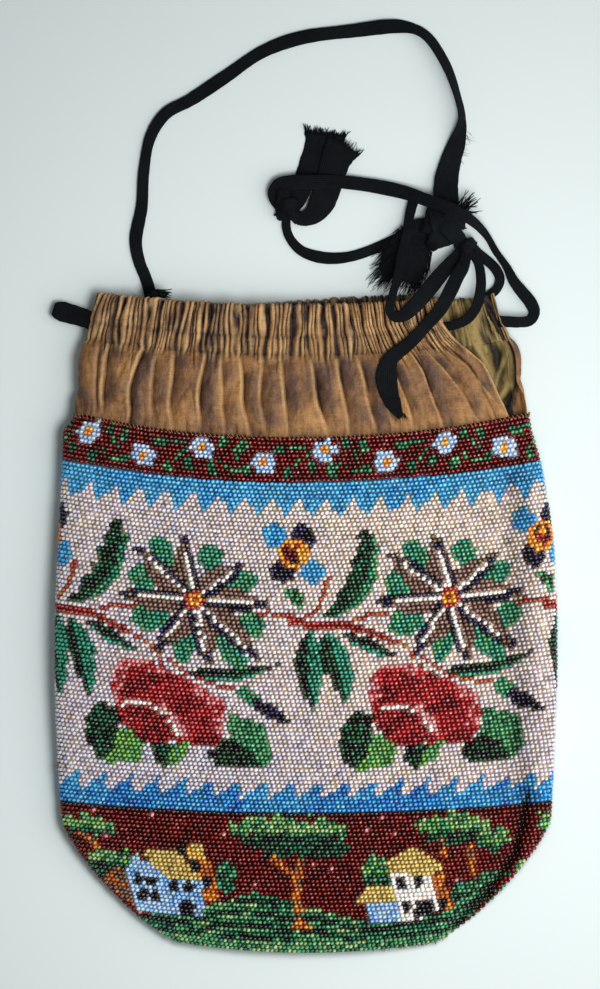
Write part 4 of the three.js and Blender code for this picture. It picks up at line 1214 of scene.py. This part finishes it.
def makeCloth():
    size = clothTop
    even = [np.linspace(*size[name]) for name in ("panelLevels", "casingLevels")]
    outer = np.concatenate([*even, size["brimLevels"]])
    levels = [(up, 0.0) for up in outer] + size["turned"]
    share = np.linspace(0, 1, size["columns"])
    ups = np.array([up for up, inset in levels])
    strip, spans, fromEdge = clothStrip(share, levels)
    apart = window(share, *size["apart"])
    turnIn(strip, ups, outer, apart)
    pleats, crestHighlight = clothPleats(share, ups)
    folds, shade, ridge = clothFolds(share, ups, spans)
    sunk = pleats + folds

    def rising(name):  # how far a level lies up a named span
        return smooth(ups, *size[name])[:, None]

    stitch = sum(bell(ups - line, size["stitchWide"]) for line in size["casing"])[:, None]
    hem = bell(fromEdge - size["hem"], size["hemWide"])
    doubled = 1 - smooth(fromEdge, size["hem"] - size["hemEdge"], size["hem"])
    x, y, z = strip
    tx, tz = np.gradient(x, axis=1), np.gradient(z, axis=1)
    reach = np.maximum(np.hypot(tx, tz), tiny)
    nx, nz = tz / reach, -tx / reach
    out = size["lift"] * smooth(nz, *size["liftFacing"]) * rising("liftUp")
    out = out - sunk * rising("sinkUp") - size["stitchDeep"] * stitch
    out += (size["doubled"] * doubled - size["hemDeep"] * hem) * rising("hemUp")
    out -= size["close"] * (1 - apart) * (np.arange(len(levels)) >= len(outer) + size["closeFrom"])[:, None]
    scallop = size["scallop"] * np.clip(sunk, 0, size["scallopMost"]) * rising("scallopUp")
    z = np.maximum(z + nz * out, size["lowest"])
    grid = np.stack([x + nx * out + pouch["topLean"], y - scallop, z], axis=2)
    points, faces = thickSheet(grid, size["thick"])
    piece = meshPiece("gathered_cloth", points, faces, clothMaterial(), "brown_cloth")

    look = clothLook
    gathered = smooth(ups, *look["gatheredUp"])[:, None]
    # painted shade: darker in the folds' valleys, along the stitch lines and in the hem's groove, with fine
    # uneven lines among the pleats
    foldShade = sunk / lerp(*look["foldScale"], gathered) + look["stitchShade"] * stitch
    foldShade = foldShade + fineLines(share, ups, gathered) + look["hemShade"] * hem - look["foldFree"]
    foldShade = np.clip(foldShade, 0, 1) * lerp(*look["foldMost"], gathered)
    foldShade = foldShade ** lerp(*look["foldPower"], gathered)  # painted shade as thin dark lines between full pleats
    inner = np.broadcast_to(window(share, *look["inner"])[None, :], sunk.shape)
    inside = np.clip(look["innerDark"] - look["innerScale"] * sunk, 0, 1)  # painted shade on the inside: from inside, folds stand up
    foldShade = np.where(inner > 0.5, inside, foldShade)
    # painted highlight on pleat crests, fold ridges and the free edge
    crestHighlight = np.clip(crestHighlight + look["ridgeHighlight"] * ridge + bell(fromEdge, look["edgeHighlight"]), 0, 1)
    for name, values in (("foldShade", foldShade), ("inner", inner), ("crestHighlight", crestHighlight), ("shade", shade)):
        pointLayer(piece, name, "FLOAT", "value", np.tile(values.reshape(-1), 2))
    print("cloth", len(faces))
    return piece


# Stitches that sew the cloth to the beads, and threads that have come loose at the bag's edge
seam = {
    "count": 210, "long": (0.8, 2.2), "thick": 0.44, "droop": 0.1, "colour": "#a98250", "dark": "#553a22",
    "fleck": (400, 2, 0.6), "rough": 0.7, "shine": 0.5,
    "levels": (-0.4, 0.8), "lean": (0.3, 0.9), "proud": 0.1,
    "foot": (22, 47), "footCount": 90, "footIn": 0.5, "footZ": (1.4, 3.0), "footDroop": 0.4,
    "footHead": ((0.8, 0.5), (-0.5, 0.3)), "outlineSteps": 400,
    "tuft": (-82.2, -46.8, 6), "tuftCount": 12, "tuftSpread": (0.15, 1.0, 0.25), "tuftHead": (-0.2, -1, 0),
    "tuftTurn": (0.35, 0.35, 0.07), "tuftDroop": 0.5, "tuftLong": (0.5, 1.5), "tuftThick": 0.4,
}


def makeSeam():
    material = mottled("seam thread", seam)
    count = seam["count"]
    grid = pouchGrid(np.array(seam["levels"]), count)[0]
    over, under = grid
    lean = draw.uniform(*seam["lean"], (count, 1))
    heads = under - over + lean * (np.roll(under, -1, axis=0) - under)
    roots = over + seam["proud"] * gridNormals(grid)[0]
    long = draw.uniform(*seam["long"], count)
    stitches = hairMesh(roots, heads, long, seam["thick"], seam["droop"])
    meshPiece("seam_stitches", *stitches[:2], material, "brown_cloth")

    count = seam["footCount"]
    downs = np.linspace(pouch["straightHeight"], pouchHeight, seam["outlineSteps"])
    x = draw.uniform(*seam["foot"], count)
    down = np.interp(x, pouchHalf(downs)[::-1], downs[::-1])  # along the bottom's outline
    y = seamY - down - pouch["lowerSag"] * (1 - np.clip(x / pouchHalf(down), 0, 1) ** 2)
    roots = np.column_stack([x - seam["footIn"], y + seam["footIn"], draw.uniform(*seam["footZ"], count)])
    heads = np.column_stack([*(draw.normal(*way, count) for way in seam["footHead"]), np.zeros(count)])
    long = draw.uniform(*seam["tuftLong"], count)
    parts = [hairMesh(roots, heads, long, seam["tuftThick"], seam["footDroop"])]
    count = seam["tuftCount"]
    roots = np.array(seam["tuft"]) + draw.normal(0, 1, (count, 3)) * seam["tuftSpread"]
    heads = np.array(seam["tuftHead"]) + draw.normal(0, 1, (count, 3)) * seam["tuftTurn"]
    long = draw.uniform(*seam["tuftLong"], count)
    parts.append(hairMesh(roots, heads, long, seam["tuftThick"], seam["tuftDroop"]))
    meshPiece("loose_threads", *joined(parts)[:2], material, "beads")


# Plain lining inside the pouch
lining = {
    "cut": (0.33, 0.17), "inset": 2.5, "thick": 0.35, "top": 4, "foot": 168, "rows": 40, "round": 160,
    "ripples": [(0.25, 9, 0.05), (0.25, 23, -0.09)], "sunk": 0.5, "crease": 1.8,
    "colour": "#7d5f36", "dark": "#5a4225", "fleck": (60, 4, 0.6), "rough": 0.85, "shine": 0.5,
}


def makeLining():
    size = lining
    material = mottled("lining cotton", size)
    downs = np.linspace(size["top"], size["foot"], size["rows"])
    angle = np.arange(size["round"]) * 2 * math.pi / size["round"]
    ripple = waves(angle, downs[:, None], size["ripples"]) - size["sunk"]
    sides = []
    for inset in (size["inset"], size["inset"] + size["thick"]):
        side = pouchGrid(downs, size["round"], inset)[0]
        side += gridNormals(side) * ripple[:, :, None]
        creasedGrid(side, size["crease"])
        sides.append(side)
    piece = bagPiece("plain_lining", *sides, material, "lining_cloth")
    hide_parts("lining")
    return piece


# Black tapes: routes in millimetres, y from the cloth's top edge; widths by share of the length
tapes = {
    "handle": {
        "across": 4.7,
        "route": [(-52, -8.4, 1.3), (-52, -4.3, 1.3), (-52, -0.1, 1.2), (-53.4, 5.1, 0.6), (-55.6, 10.6, 0.5),
                  (-56.8, 17.6, 0.5), (-54.8, 29.1, 0.5), (-54.1, 40.8, 0.5), (-51.8, 52.5, 0.5),
                  (-46.8, 60.1, 0.5), (-38.5, 64.7, 0.5), (-26.9, 72.4, 0.5), (-14.6, 80.7, 0.5),
                  (-2, 85.3, 0.5), (14.6, 87.6, 0.5), (32.4, 89.1, 0.7), (39.5, 86.4, 1.9), (46.1, 77.3, 2.2),
                  (50.5, 65.7, 2.4), (52, 58.1, 2.3), (50.6, 51.1, 1.0), (48.4, 44.6, 0.8), (46.8, 37.6, 1.6),
                  (46.6, 30.3, 3.4), (46.8, 25.5, 5.0)],
        "width": [(0, 4.2), (0.2, 4.0), (0.25, 3.3), (0.31, 4.3), (0.6, 4.6), (0.853, 4.7), (0.884, 5.7),
                  (0.915, 6.6), (0.945, 8.2), (0.975, 9.2), (1, 7.5)],
        "stand": [(0.665, 0), (0.7, 0.72), (0.766, 0.86), (0.82, 1.0), (0.853, 0.92), (0.884, 0.2), (0.9, 0)],
    },
    "long_strand": {
        "across": 4.3,
        "route": [(63.8, -9.5, 6.6), (67.4, -9.6, 6.5), (71, -9.7, 5.6), (74.6, -9, 4.2), (76, -6.1, 3.2),
                  (74.7, -2.9, 2.6), (72, 0.5, 2.4), (69.2, 4.1, 2.6), (67, 8.5, 2.8), (63, 14.3, 3.0),
                  (60.6, 18.5, 3.6), (57.6, 22.0, 4.8), (53.6, 25.0, 7.0), (49.0, 27.4, 8.6),
                  (44.0, 29.3, 7.8), (39.5, 31.1, 5.6), (34.5, 33.1, 3.4), (28, 34.8, 2.4), (19.6, 36.3, 2.2),
                  (11.3, 37.2, 2.4), (5, 37.2, 2.9), (0, 37.1, 3.2), (-5.0, 36.9, 3.2), (-8.8, 36.0, 2.9),
                  (-10.3, 33.4, 2.4), (-9.6, 30.6, 2.2), (-7.4, 28.4, 2.2)],
        "width": [(0, 3.8), (0.08, 3.8), (0.14, 4.2), (0.2, 3.6), (0.26, 2.6), (0.34, 2.4), (0.4, 3.2),
                  (0.5, 4.4), (0.62, 4.6), (0.9, 4.9), (0.95, 5.2), (1, 4.2)],
    },
    "lower_strand": {
        "across": 3.4,
        "route": [(-5.6, 27.4, 1.4), (-6.6, 24.4, 0.7), (-5.8, 19.4, 0.5), (-1.9, 14.6, 0.5),
                  (3.6, 12.4, 0.5), (9.1, 11.8, 0.5), (15.3, 12.5, 0.5), (23.6, 15.3, 0.5), (30.5, 18.4, 0.6),
                  (35.6, 20.6, 0.8), (39.4, 21.7, 1.2), (43.0, 22.4, 2.4)],
        "width": [(0, 3.0), (0.2, 3.2), (0.35, 3.9), (0.8, 3.5), (1, 3.4)],
    },
    "bow_loop": {
        "across": 4.3,
        "route": [(53.0, 14.4, 3.8), (49.6, 11.3, 5.0), (45.2, 6.6, 8.6), (39.8, -0.1, 12.6),
                  (35.2, -5.3, 13.4), (32, -7.9, 13.4), (29.2, -8.2, 13.4), (27.7, -6, 13.4),
                  (28.4, -1.9, 12.4), (30.2, 4.6, 8.4), (31.9, 12.9, 5.6), (33.7, 20.6, 4.2),
                  (34.6, 26.2, 2.8), (35.4, 29.4, 2.4), (36.2, 31.8, 2.0)],
        "width": [(0, 4.2), (0.2, 5.6), (0.36, 4.8), (0.46, 3.4), (0.6, 2.8), (0.8, 3.2), (1, 3.6)],
    },
    "tape_tail": {
        "across": 4.3,
        "route": [(53.4, 14.6, 5.6), (52.4, 9.4, 7.8), (50, 5, 10.4), (47.4, -0.3, 13.2), (44.2, -6, 13.6),
                  (39.5, -11.3, 13.4), (34.9, -16.3, 13.4), (30.5, -19.9, 13.4), (27.7, -22.7, 13.4),
                  (26.6, -27.2, 13.4), (27.4, -33.2, 13.5), (29.4, -38, 13.6), (31.4, -41.6, 13.6)],
        "width": [(0, 3.6), (0.12, 4.6), (0.5, 4.4), (0.68, 4.6), (0.79, 7.4), (0.92, 5.8), (1, 2.0)],
    },
    "casing_strand": {
        "across": 3.4,
        "route": [(41.8, -11.8, 9.0), (44.6, -11.5, 9.0), (48.6, -10.9, 9.0), (53, -9.1, 9.4),
                  (56.2, -5.3, 9.8), (57.9, 0.7, 8.6), (58, 6.5, 6.2), (57.0, 10.8, 4.8), (54.8, 14.0, 4.2),
                  (55.2, 15.4, 2.8), (57.4, 13.4, 1.8), (60.4, 11.0, 1.4), (63.2, 8.3, 1.2), (64.7, 4.8, 1.2),
                  (63.5, 1.4, 1.3), (61.0, -0.6, 1.4), (58.6, -3.0, 1.4), (57.5, -7, 1.3)],
        "width": [(0, 3.2), (0.4, 3.5), (0.5, 3.2), (0.62, 3.2), (0.78, 3.4), (0.9, 3.2), (1, 2.6)],
    },
    "left_loop": {
        "across": 5,
        "route": [(-66.6, -10.8, 4.2), (-71.0, -9.5, 3.6), (-74, -8.2, 2.6), (-79, -6.7, 1.8),
                  (-83.0, -5.5, 1.4), (-84.4, -5.0, 2.1), (-83.0, -5.5, 2.9), (-79, -6.7, 3.5),
                  (-74, -8.2, 4.6), (-71.0, -9.5, 5.4), (-66.6, -10.8, 6.0)],
        "width": [(0, 5.6), (0.4, 6.4), (0.455, 5.8), (0.485, 4.4), (0.5, 3.4), (0.515, 4.4), (0.545, 5.8),
                  (0.6, 6.4), (1, 5.6)],
        "side": (0.286, 0.958, 0),
    },
}
loosePieces = {  # short ends, wide and single
    "cut_end_one": {"route": [(-6.0, 26.6, 1.2), (-3.4, 31, 1.0), (-0.8, 37, 0.8), (1.4, 42.5, 0.5),
                              (4.0, 47.2, 0.4), (5.8, 50.6, 0.4), (6.4, 53.6, 0.4)],
                    "width": [(0, 4.0), (0.2, 7.0), (0.55, 7.2), (0.75, 9.4), (0.88, 12.6), (1, 14.2)]},
    "cut_end_two": {"route": [(-4.6, 26.4, 2.0), (-1.4, 25.0, 1.9), (2.2, 26.2, 1.8), (5.2, 30.2, 1.7),
                              (7.2, 35.5, 1.6), (8.7, 40.5, 1.6), (10.2, 45.2, 1.6), (12.6, 49.6, 1.5)],
                    "width": [(0, 3.8), (0.2, 6.0), (0.36, 8.4), (0.6, 9.4), (0.8, 10.4), (1, 12.4)]},
    "frayed_tail": {"route": [(43, 23.5, 2.8), (38.0, 19.6, 2.4), (34.6, 14.6, 2.0), (32.4, 9.6, 1.6),
                              (31.0, 4.6, 1.0)],
                    "width": [(0, 5.0), (0.25, 11.0), (0.6, 15.4), (0.9, 14.6), (1, 12.0)]},
}
tapeLook = {
    "thick": 0.7, "thin": 0.45, "step": 1.1, "sides": 12, "curveSteps": 24, "leastSteps": 6,
    "sway": (0.05, 0.23), "uneven": 0.012, "twist": 0.1, "looseTwist": 0.08, "twistPace": 0.07,
    "start": (0, 6), "flat": 0.45, "edge": 0.5, "lowest": 0.05, "ribs": 0.62,
    "colour": "#060709", "sheenAndLint": "#161b1f", "sheenMix": (0.12, 0.6, 0.4), "sheenSpan": (0.3, 0.8),
    "dust": (120, 3, 0.6), "fuzz": (700, 3, 0.6), "ribHigh": 0.5, "bump": (0.6, 0.0002),
    "rough": 0.85, "shine": 0.1,
}
hairLook = {"rings": 4, "sides": 3, "sink": 0.1, "taper": 0.7, "off": 0.6}


def routeLine(route):  # an even line through a route's points, and its length
    points = np.array(route, float) + (0, topY, 0)
    marks = np.concatenate([[0], np.cumsum(np.linalg.norm(np.diff(points, axis=0), axis=1) ** 0.5)])
    points = np.vstack([2 * points[0] - points[1], points, 2 * points[-1] - points[-2]])
    marks = np.concatenate([[2 * marks[0] - marks[1]], marks, [2 * marks[-1] - marks[-2]]])
    line = []
    for i in range(len(points) - 3):
        t = np.linspace(marks[i + 1], marks[i + 2], tapeLook["curveSteps"] + 1)[:-1, None]
        level = list(points[i:i + 4])
        for pairs in ([(0, 1), (1, 2), (2, 3)], [(0, 2), (1, 3)], [(1, 2)]):
            level = [lerp(level[k], level[k + 1], (t - marks[i + low]) / (marks[i + high] - marks[i + low]))
                     for k, (low, high) in enumerate(pairs)]
        line.append(level[0])
    line = np.vstack([*line, points[-2:-1]])
    length = along(line)
    steps = max(int(round(length[-1] / tapeLook["step"])), tapeLook["leastSteps"])
    places = np.linspace(0, length[-1], steps + 1)
    return np.column_stack([np.interp(places, length, part) for part in line.T]), length[-1]


def sideways(line, side=None):  # across and out of a tape at each of its points
    ahead = np.gradient(line, axis=0)
    ahead /= np.linalg.norm(ahead, axis=1, keepdims=True)
    across = np.cross(ahead, (0, 0, 1)) if side is None else np.tile(np.array(side, float), (len(line), 1))
    across -= ahead * np.sum(across * ahead, axis=1, keepdims=True)
    across /= np.linalg.norm(across, axis=1, keepdims=True)
    return across, np.cross(across, ahead)


def tapeMesh(line, widths, thick, side=None, twist=0.0, stand=((0, 0), (1, 0))):
    size = tapeLook
    count = size["sides"]
    across, out = sideways(line, side)
    share = np.linspace(0, 1, len(line))
    sway, pace = size["sway"]
    uneven = sway * np.sin(share * len(line) * pace + draw.uniform(*size["start"]))
    half = atShares(share, widths) / 2 * (1 + uneven + draw.normal(0, size["uneven"], len(line)))
    turn = twist * np.sin(share * len(line) * size["twistPace"] + draw.uniform(*size["start"]))
    turn = (turn + atShares(share, stand))[:, None]
    across, out = across * np.cos(turn) + out * np.sin(turn), out * np.cos(turn) - across * np.sin(turn)
    angle = np.arange(count) * 2 * math.pi / count
    u = np.sign(np.cos(angle)) * np.abs(np.cos(angle)) ** size["flat"]
    v = np.sign(np.sin(angle)) * np.abs(np.sin(angle)) ** size["edge"]
    wide = u * half[:, None]
    rings = line[:, None] + across[:, None] * wide[:, :, None] + out[:, None] * (v * thick / 2)[:, None]
    rings[..., 2] = np.maximum(rings[..., 2], size["lowest"])  # nothing goes through the table
    ring = np.arange(count)
    ends = [ring.tolist(), (ring[::-1] + (len(line) - 1) * count).tolist()]
    faces = [*ringFaces(len(line), count)[:, ::-1].tolist(), *ends]
    weave = np.stack([wide, np.broadcast_to(along(line)[:, None], wide.shape)], axis=2)
    return rings.reshape(-1, 3), faces, weave.reshape(-1, 2)


def hairMesh(roots, heads, lengths, thick, droop):  # loose threads, tapering
    size = hairLook
    corners = size["rings"] * size["sides"]
    steps = np.linspace(0, 1, size["rings"])[:, None]
    points, faces = [], []
    for root, head, length in zip(roots, heads, lengths):
        head = np.array(head, float) / np.linalg.norm(head)
        side = np.cross(head, (0, 0, 1))
        side /= max(np.linalg.norm(side), tiny)
        curl = draw.normal(0, droop)
        line = root + head * steps * length + side * curl * length * steps ** 2
        line[:, 2] -= size["sink"] * length * steps[:, 0] ** 2
        line[:, 2] = np.maximum(line[:, 2], size["off"] * thick + tapeLook["lowest"])
        rim = np.array([side, np.cross(head, side), -side - np.cross(head, side)])
        tube = line[:, None] + rim * (thick / 2 * (1 - size["taper"] * steps))[:, :, None]
        start = len(points) * corners
        end = start + corners
        points.append(tube.reshape(-1, 3))
        faces += (ringFaces(size["rings"], size["sides"]) + start).tolist()
        faces += [[start + 2, start + 1, start], [end - 3, end - 2, end - 1]]
    return np.vstack(points), faces, np.zeros((len(points) * corners, 2))


def joined(parts):  # several meshes as one
    points, faces, weave = zip(*parts)
    starts = np.cumsum([0, *map(len, points)])
    faces = [[corner + start for corner in face] for start, part in zip(starts, faces) for face in part]
    return np.vstack(points), faces, np.vstack(weave)


def tapeMaterial():
    size = tapeLook
    shader = Shader("black woven tape")
    across = shader.node("SeparateXYZ", {}, {0: shader.node("UVMap", {"uv_map": "weave"})})
    ribs = shader.node("Math", {"operation": "SINE"}, {0: across * (2 * math.pi / size["ribs"])})
    dust, fuzz = (shader.noise(*size[name], shader.object()) for name in ("dust", "fuzz"))
    # painted sheen along the ribs, mixed with lint from the dust and fuzz noise
    byRib, byDust, byFuzz = size["sheenMix"]
    mix = shader.between(byRib * ribs + byDust * dust + byFuzz * fuzz, *size["sheenSpan"])
    colour = shader.blend(mix, rgba(size["colour"]), rgba(size["sheenAndLint"]))
    return shader.done(size, colour, shader.bump(ribs * size["ribHigh"] + fuzz, *size["bump"]))


def tapePiece(name, mesh, material):
    points, faces, weave = mesh
    piece = meshPiece(name, points, faces, material, "black_tape")
    layer = piece.data.uv_layers.new(name="weave")
    corners = np.zeros(len(piece.data.loops), int)
    piece.data.loops.foreach_get("vertex_index", corners)
    layer.data.foreach_set("uv", weave[corners].reshape(-1).astype(np.float32))
    return piece


# Knots: each is made of turns of tape pulled over one another
knots = {
    "main_knot_turns": [(46.5, 22.6, 7.0, 7.4, 0.5, 6.0), (47.6, 21.0, 6.6, 8.2, -0.9, 5.4),
                        (44.2, 23.6, 6.4, 7.4, 1.7, 6.0), (47.8, 24.2, 4.8, 8.0, -0.2, 5.0),
                        (44.2, 19.6, 5.0, 6.4, 0.9, 5.6), (46.6, 17.8, 4.8, 5.6, 0.2, 4.6),
                        (49.6, 20.6, 4.6, 6.4, -1.3, 4.4), (42.0, 25.4, 4.4, 5.6, 1.2, 5.0),
                        (42.2, 21.4, 4.2, 5.8, -0.4, 4.6)],
    "bow_knot_turns": [(53.6, 15.5, 2.9, 6.6, 0.6, 3.2), (53.9, 16.4, 2.6, 6.0, -0.9, 2.8),
                       (53.2, 14.9, 2.4, 6.8, 1.9, 2.6)],
    "end_knot_turns": [(-6.2, 27.4, 3.4, 4.0, 0.4, 3.8), (-5.2, 26.4, 3.0, 4.4, -0.8, 3.4),
                       (-7.6, 31.4, 4.2, 3.4, 1.3, 4.8), (-6.4, 29.6, 3.2, 4.2, -0.2, 4.2)],
}
knotLook = {
    "past": 0.25, "steps": 22, "power": 0.8, "bow": 0.5, "lowest": 0.45, "thick": 1.5, "tilt": 0.1,
    "widths": [(0, 0.8), (0.5, 1), (1, 0.7)],
}


def knotMesh(turns):
    size = knotLook
    angle = np.linspace(-size["past"], math.pi + size["past"], size["steps"])
    flat = np.sign(np.cos(angle)) * np.abs(np.cos(angle)) ** size["power"]
    bow = size["bow"] * np.sin(angle * 2)
    parts = []
    for x, y, radius, tall, heading, width in turns:
        ahead, aside = math.cos(heading), math.sin(heading)
        z = np.maximum(tall * np.sin(angle), size["lowest"])
        right = x + radius * flat * ahead - bow * aside
        line = np.column_stack([right, y + topY + radius * flat * aside + bow * ahead, z])
        widths = [(share, width * part) for share, part in size["widths"]]
        parts.append(tapeMesh(line, widths, size["thick"], (-aside, ahead, size["tilt"])))
    return joined(parts)


# Solids that each piece takes the place of
tapeNodes = {
    "handle": ["handle_tape"], "long_strand": ["upper_strand", "right_loop"],
    "lower_strand": ["lower_strand"], "bow_loop": ["bow_loop"], "tape_tail": ["tape_tail"],
    "casing_strand": ["front_strand", "back_strand"], "left_loop": ["left_loop"],
    "cut_end_one": ["cut_end_one"], "cut_end_two": ["cut_end_two"], "frayed_tail": ["frayed_tail"],
    "main_knot_turns": ["main_knot"], "bow_knot_turns": ["bow_knot"], "end_knot_turns": ["end_knot"],
}


def makeTapes():
    size = tapeLook
    material = tapeMaterial()
    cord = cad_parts["drawstring"].data
    cord.materials.clear()
    cord.materials.append(material)
    made, lines = {}, {}
    for name, tape in {**tapes, **loosePieces}.items():
        lines[name] = routeLine(tape["route"])
        form = {"thick": size["thick"], "twist": 0 if "side" in tape else size["twist"]}
        if name in loosePieces:
            form = {"thick": size["thin"], "twist": size["looseTwist"]}
        form.update({key: tape[key] for key in ("side", "stand") if key in tape})
        made[name] = tapePiece(name + "_ribbon", tapeMesh(lines[name][0], tape["width"], **form), material)
    for name, turns in knots.items():
        made[name] = tapePiece(name, knotMesh(turns), material)
    for name, mesh in frayMeshes(lines).items():
        made[name] = tapePiece(name, mesh, material)

    for name, nodes in tapeNodes.items():
        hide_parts(*nodes)
    print("tapes", {name: round(length) for name, (line, length) in lines.items()})


# Loose threads: where they grow, in millimetres, y from the cloth's top edge
frays = {
    "wisps": {"count": 16, "y": 49, "reach": 5, "right": 40, "off": (2.4, 0, 0), "rise": (-2, -0.2),
              "long": (1.5, 4), "thick": 0.12},
    "locks": {"count": 34, "x": (49.2, 52.6), "y": (25.4, 29.4), "z": (3, 7), "rise": (-0.1, 1.5),
              "long": (3.5, 8), "thick": 0.62},
    "start": {"count": 40, "x": (-53.4, -49), "y": (-0.8, 0.9), "z": (6, 8), "rise": (-0.3, -0.1),
              "long": (2, 6), "thick": 0.8},
    "brush": {"each": 40, "from": 0.3, "spread": 1.1, "long": (2.5, 7.0), "thick": 0.28, "fan": 0.55,
              "turn": 0.12, "up": (0, 0, 0.2)},
    "ends": {  # width, count, length, spread and thickness
        "cut_end_one": (14.0, 110, 2.6, 0.5, 0.4), "cut_end_two": (12.0, 80, 3.2, 0.7, 0.3),
        "tape_tail": (3.4, 34, 2.6, 0.5, 0.12),
    },
    "endBack": (0, 1.2), "endLong": (0.3, 1.0), "endTurn": 0.15, "lift": 0.05, "droop": 0.12, "curl": 0.25,
}


def endHairs(lines, name):  # threads off a tape's end
    line = lines[name][0]
    width, count, length, spread, thick = frays["ends"][name]
    across = sideways(line)[0]
    ahead = line[-1] - line[-3]
    ahead = ahead / np.linalg.norm(ahead)
    off = draw.uniform(-0.5, 0.5, count)
    back = draw.uniform(*frays["endBack"], count)
    roots = line[-1] + across[-1] * (off * width)[:, None] - ahead * back[:, None]
    heads = ahead + across[-1] * (off * spread + draw.normal(0, frays["endTurn"], count))[:, None]
    return hairMesh(roots, heads, length * draw.uniform(*frays["endLong"], count), thick, frays["curl"])


def lockMesh(look):  # a lock of threads pointing right
    count = look["count"]
    roots = np.column_stack([draw.uniform(*look[key], count) for key in "xyz"]) + (0, topY, 0)
    heads = [(1, draw.uniform(*look["rise"]), frays["lift"]) for root in roots]
    return hairMesh(roots, heads, draw.uniform(*look["long"], count), look["thick"], frays["droop"])


def brushMesh(tail):  # threads all over a frayed tail and past its end
    look = frays["brush"]
    across = sideways(tail)[0]
    widths = atShares(np.linspace(0, 1, len(tail)), loosePieces["frayed_tail"]["width"])
    rows = np.repeat(np.arange(int(len(tail) * look["from"]), len(tail)), look["each"])
    off = draw.uniform(-0.5, 0.5, len(rows))
    roots = tail[rows] + across[rows] * (off * widths[rows] * look["spread"])[:, None] + look["up"]
    ahead = (tail[-1] - tail[0]) / np.linalg.norm(tail[-1] - tail[0])
    heads = ahead + across[rows] * (off * look["fan"] + draw.normal(0, look["turn"], len(rows)))[:, None]
    return hairMesh(roots, heads, draw.uniform(*look["long"], len(rows)), look["thick"], frays["droop"])


def frayMeshes(lines):
    look = frays["wisps"]
    handle = lines["handle"][0]
    near = np.abs(handle[:, 1] - topY - look["y"]) < look["reach"]
    edge = handle[near & (handle[:, 0] > look["right"])]
    spots = edge[draw.integers(0, len(edge), look["count"])]
    heads = [(1, draw.uniform(*look["rise"]), 0) for spot in spots]
    long = draw.uniform(*look["long"], look["count"])
    wisps = hairMesh(spots + look["off"], heads, long, look["thick"], frays["curl"])
    return {
        "handle_fray": joined([wisps, lockMesh(frays["locks"]), lockMesh(frays["start"])]),
        "tail_brush": brushMesh(lines["frayed_tail"][0]),
        "cut_fray": joined([endHairs(lines, "cut_end_one"), endHairs(lines, "cut_end_two")]),
        "tail_fray": endHairs(lines, "tape_tail"),
    }


# Floor and light
stageLook = {
    "floor": "#e2edec", "floorDark": "#dce7e6", "fleck": (30, 3), "rough": 0.9, "shine": 0.5,
    "floorDown": 0.2, "reach": 2.5, "world": 0.22, "worldColour": "#eef4f8",
}
lamps = {
    "window": {"place": (470, -100, 495), "size": 0.9, "power": 3.1, "colour": (1.0, 0.985, 0.96)},
    "side": {"place": (620, -60, 190), "size": 0.5, "power": 0.6, "colour": (1.0, 0.97, 0.93)},
    "above": {"place": (75, 20, 340), "size": 0.16, "power": 0.78, "colour": (1.0, 1.0, 1.0)},
}


def makeStage():
    shader = Shader("pale table")
    fleck = shader.noise(*stageLook["fleck"])
    colour = shader.blend(fleck, rgba(stageLook["floor"]), rgba(stageLook["floorDark"]))
    material = shader.done(stageLook, colour)
    reach = stageLook["reach"]
    mesh = bpy.data.meshes.new("table")
    corners = [(x * reach, y * reach, 0) for x, y in ((-1, -1), (1, -1), (1, 1), (-1, 1))]
    mesh.from_pydata(corners, [], [(0, 1, 2, 3)])
    mesh.materials.append(material)
    table = bpy.data.objects.new("table", mesh)
    table.location.z = -stageLook["floorDown"] * mm
    bpy.context.scene.collection.objects.link(table)

    world = bpy.data.worlds.new("studio")
    world.use_nodes = True
    sky = world.node_tree.nodes["Background"]
    sky.inputs["Color"].default_value = rgba(stageLook["worldColour"])
    sky.inputs["Strength"].default_value = stageLook["world"]
    bpy.context.scene.world = world

    for name, look in lamps.items():
        lamp = bpy.data.lights.new(name, "AREA")
        lamp.shape = "DISK"
        lamp.size = look["size"]
        lamp.energy = look["power"]
        lamp.color = look["colour"]
        hung = bpy.data.objects.new(name, lamp)
        hung.location = Vector(look["place"]) * mm
        hung.rotation_euler = (-hung.location).to_track_quat("-Z", "Y").to_euler()
        bpy.context.scene.collection.objects.link(hung)


makeCamera()
makeStage()
beadPlaces, beadTints = makeBeads()
ground = makeGround(beadPlaces, beadTints)
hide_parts("beaded_body")
cloth = makeCloth()
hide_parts("cloth_top")
liner = makeLining()
makeSeam()
makeTapes()
bpy.context.scene.view_settings.view_transform = "Standard"
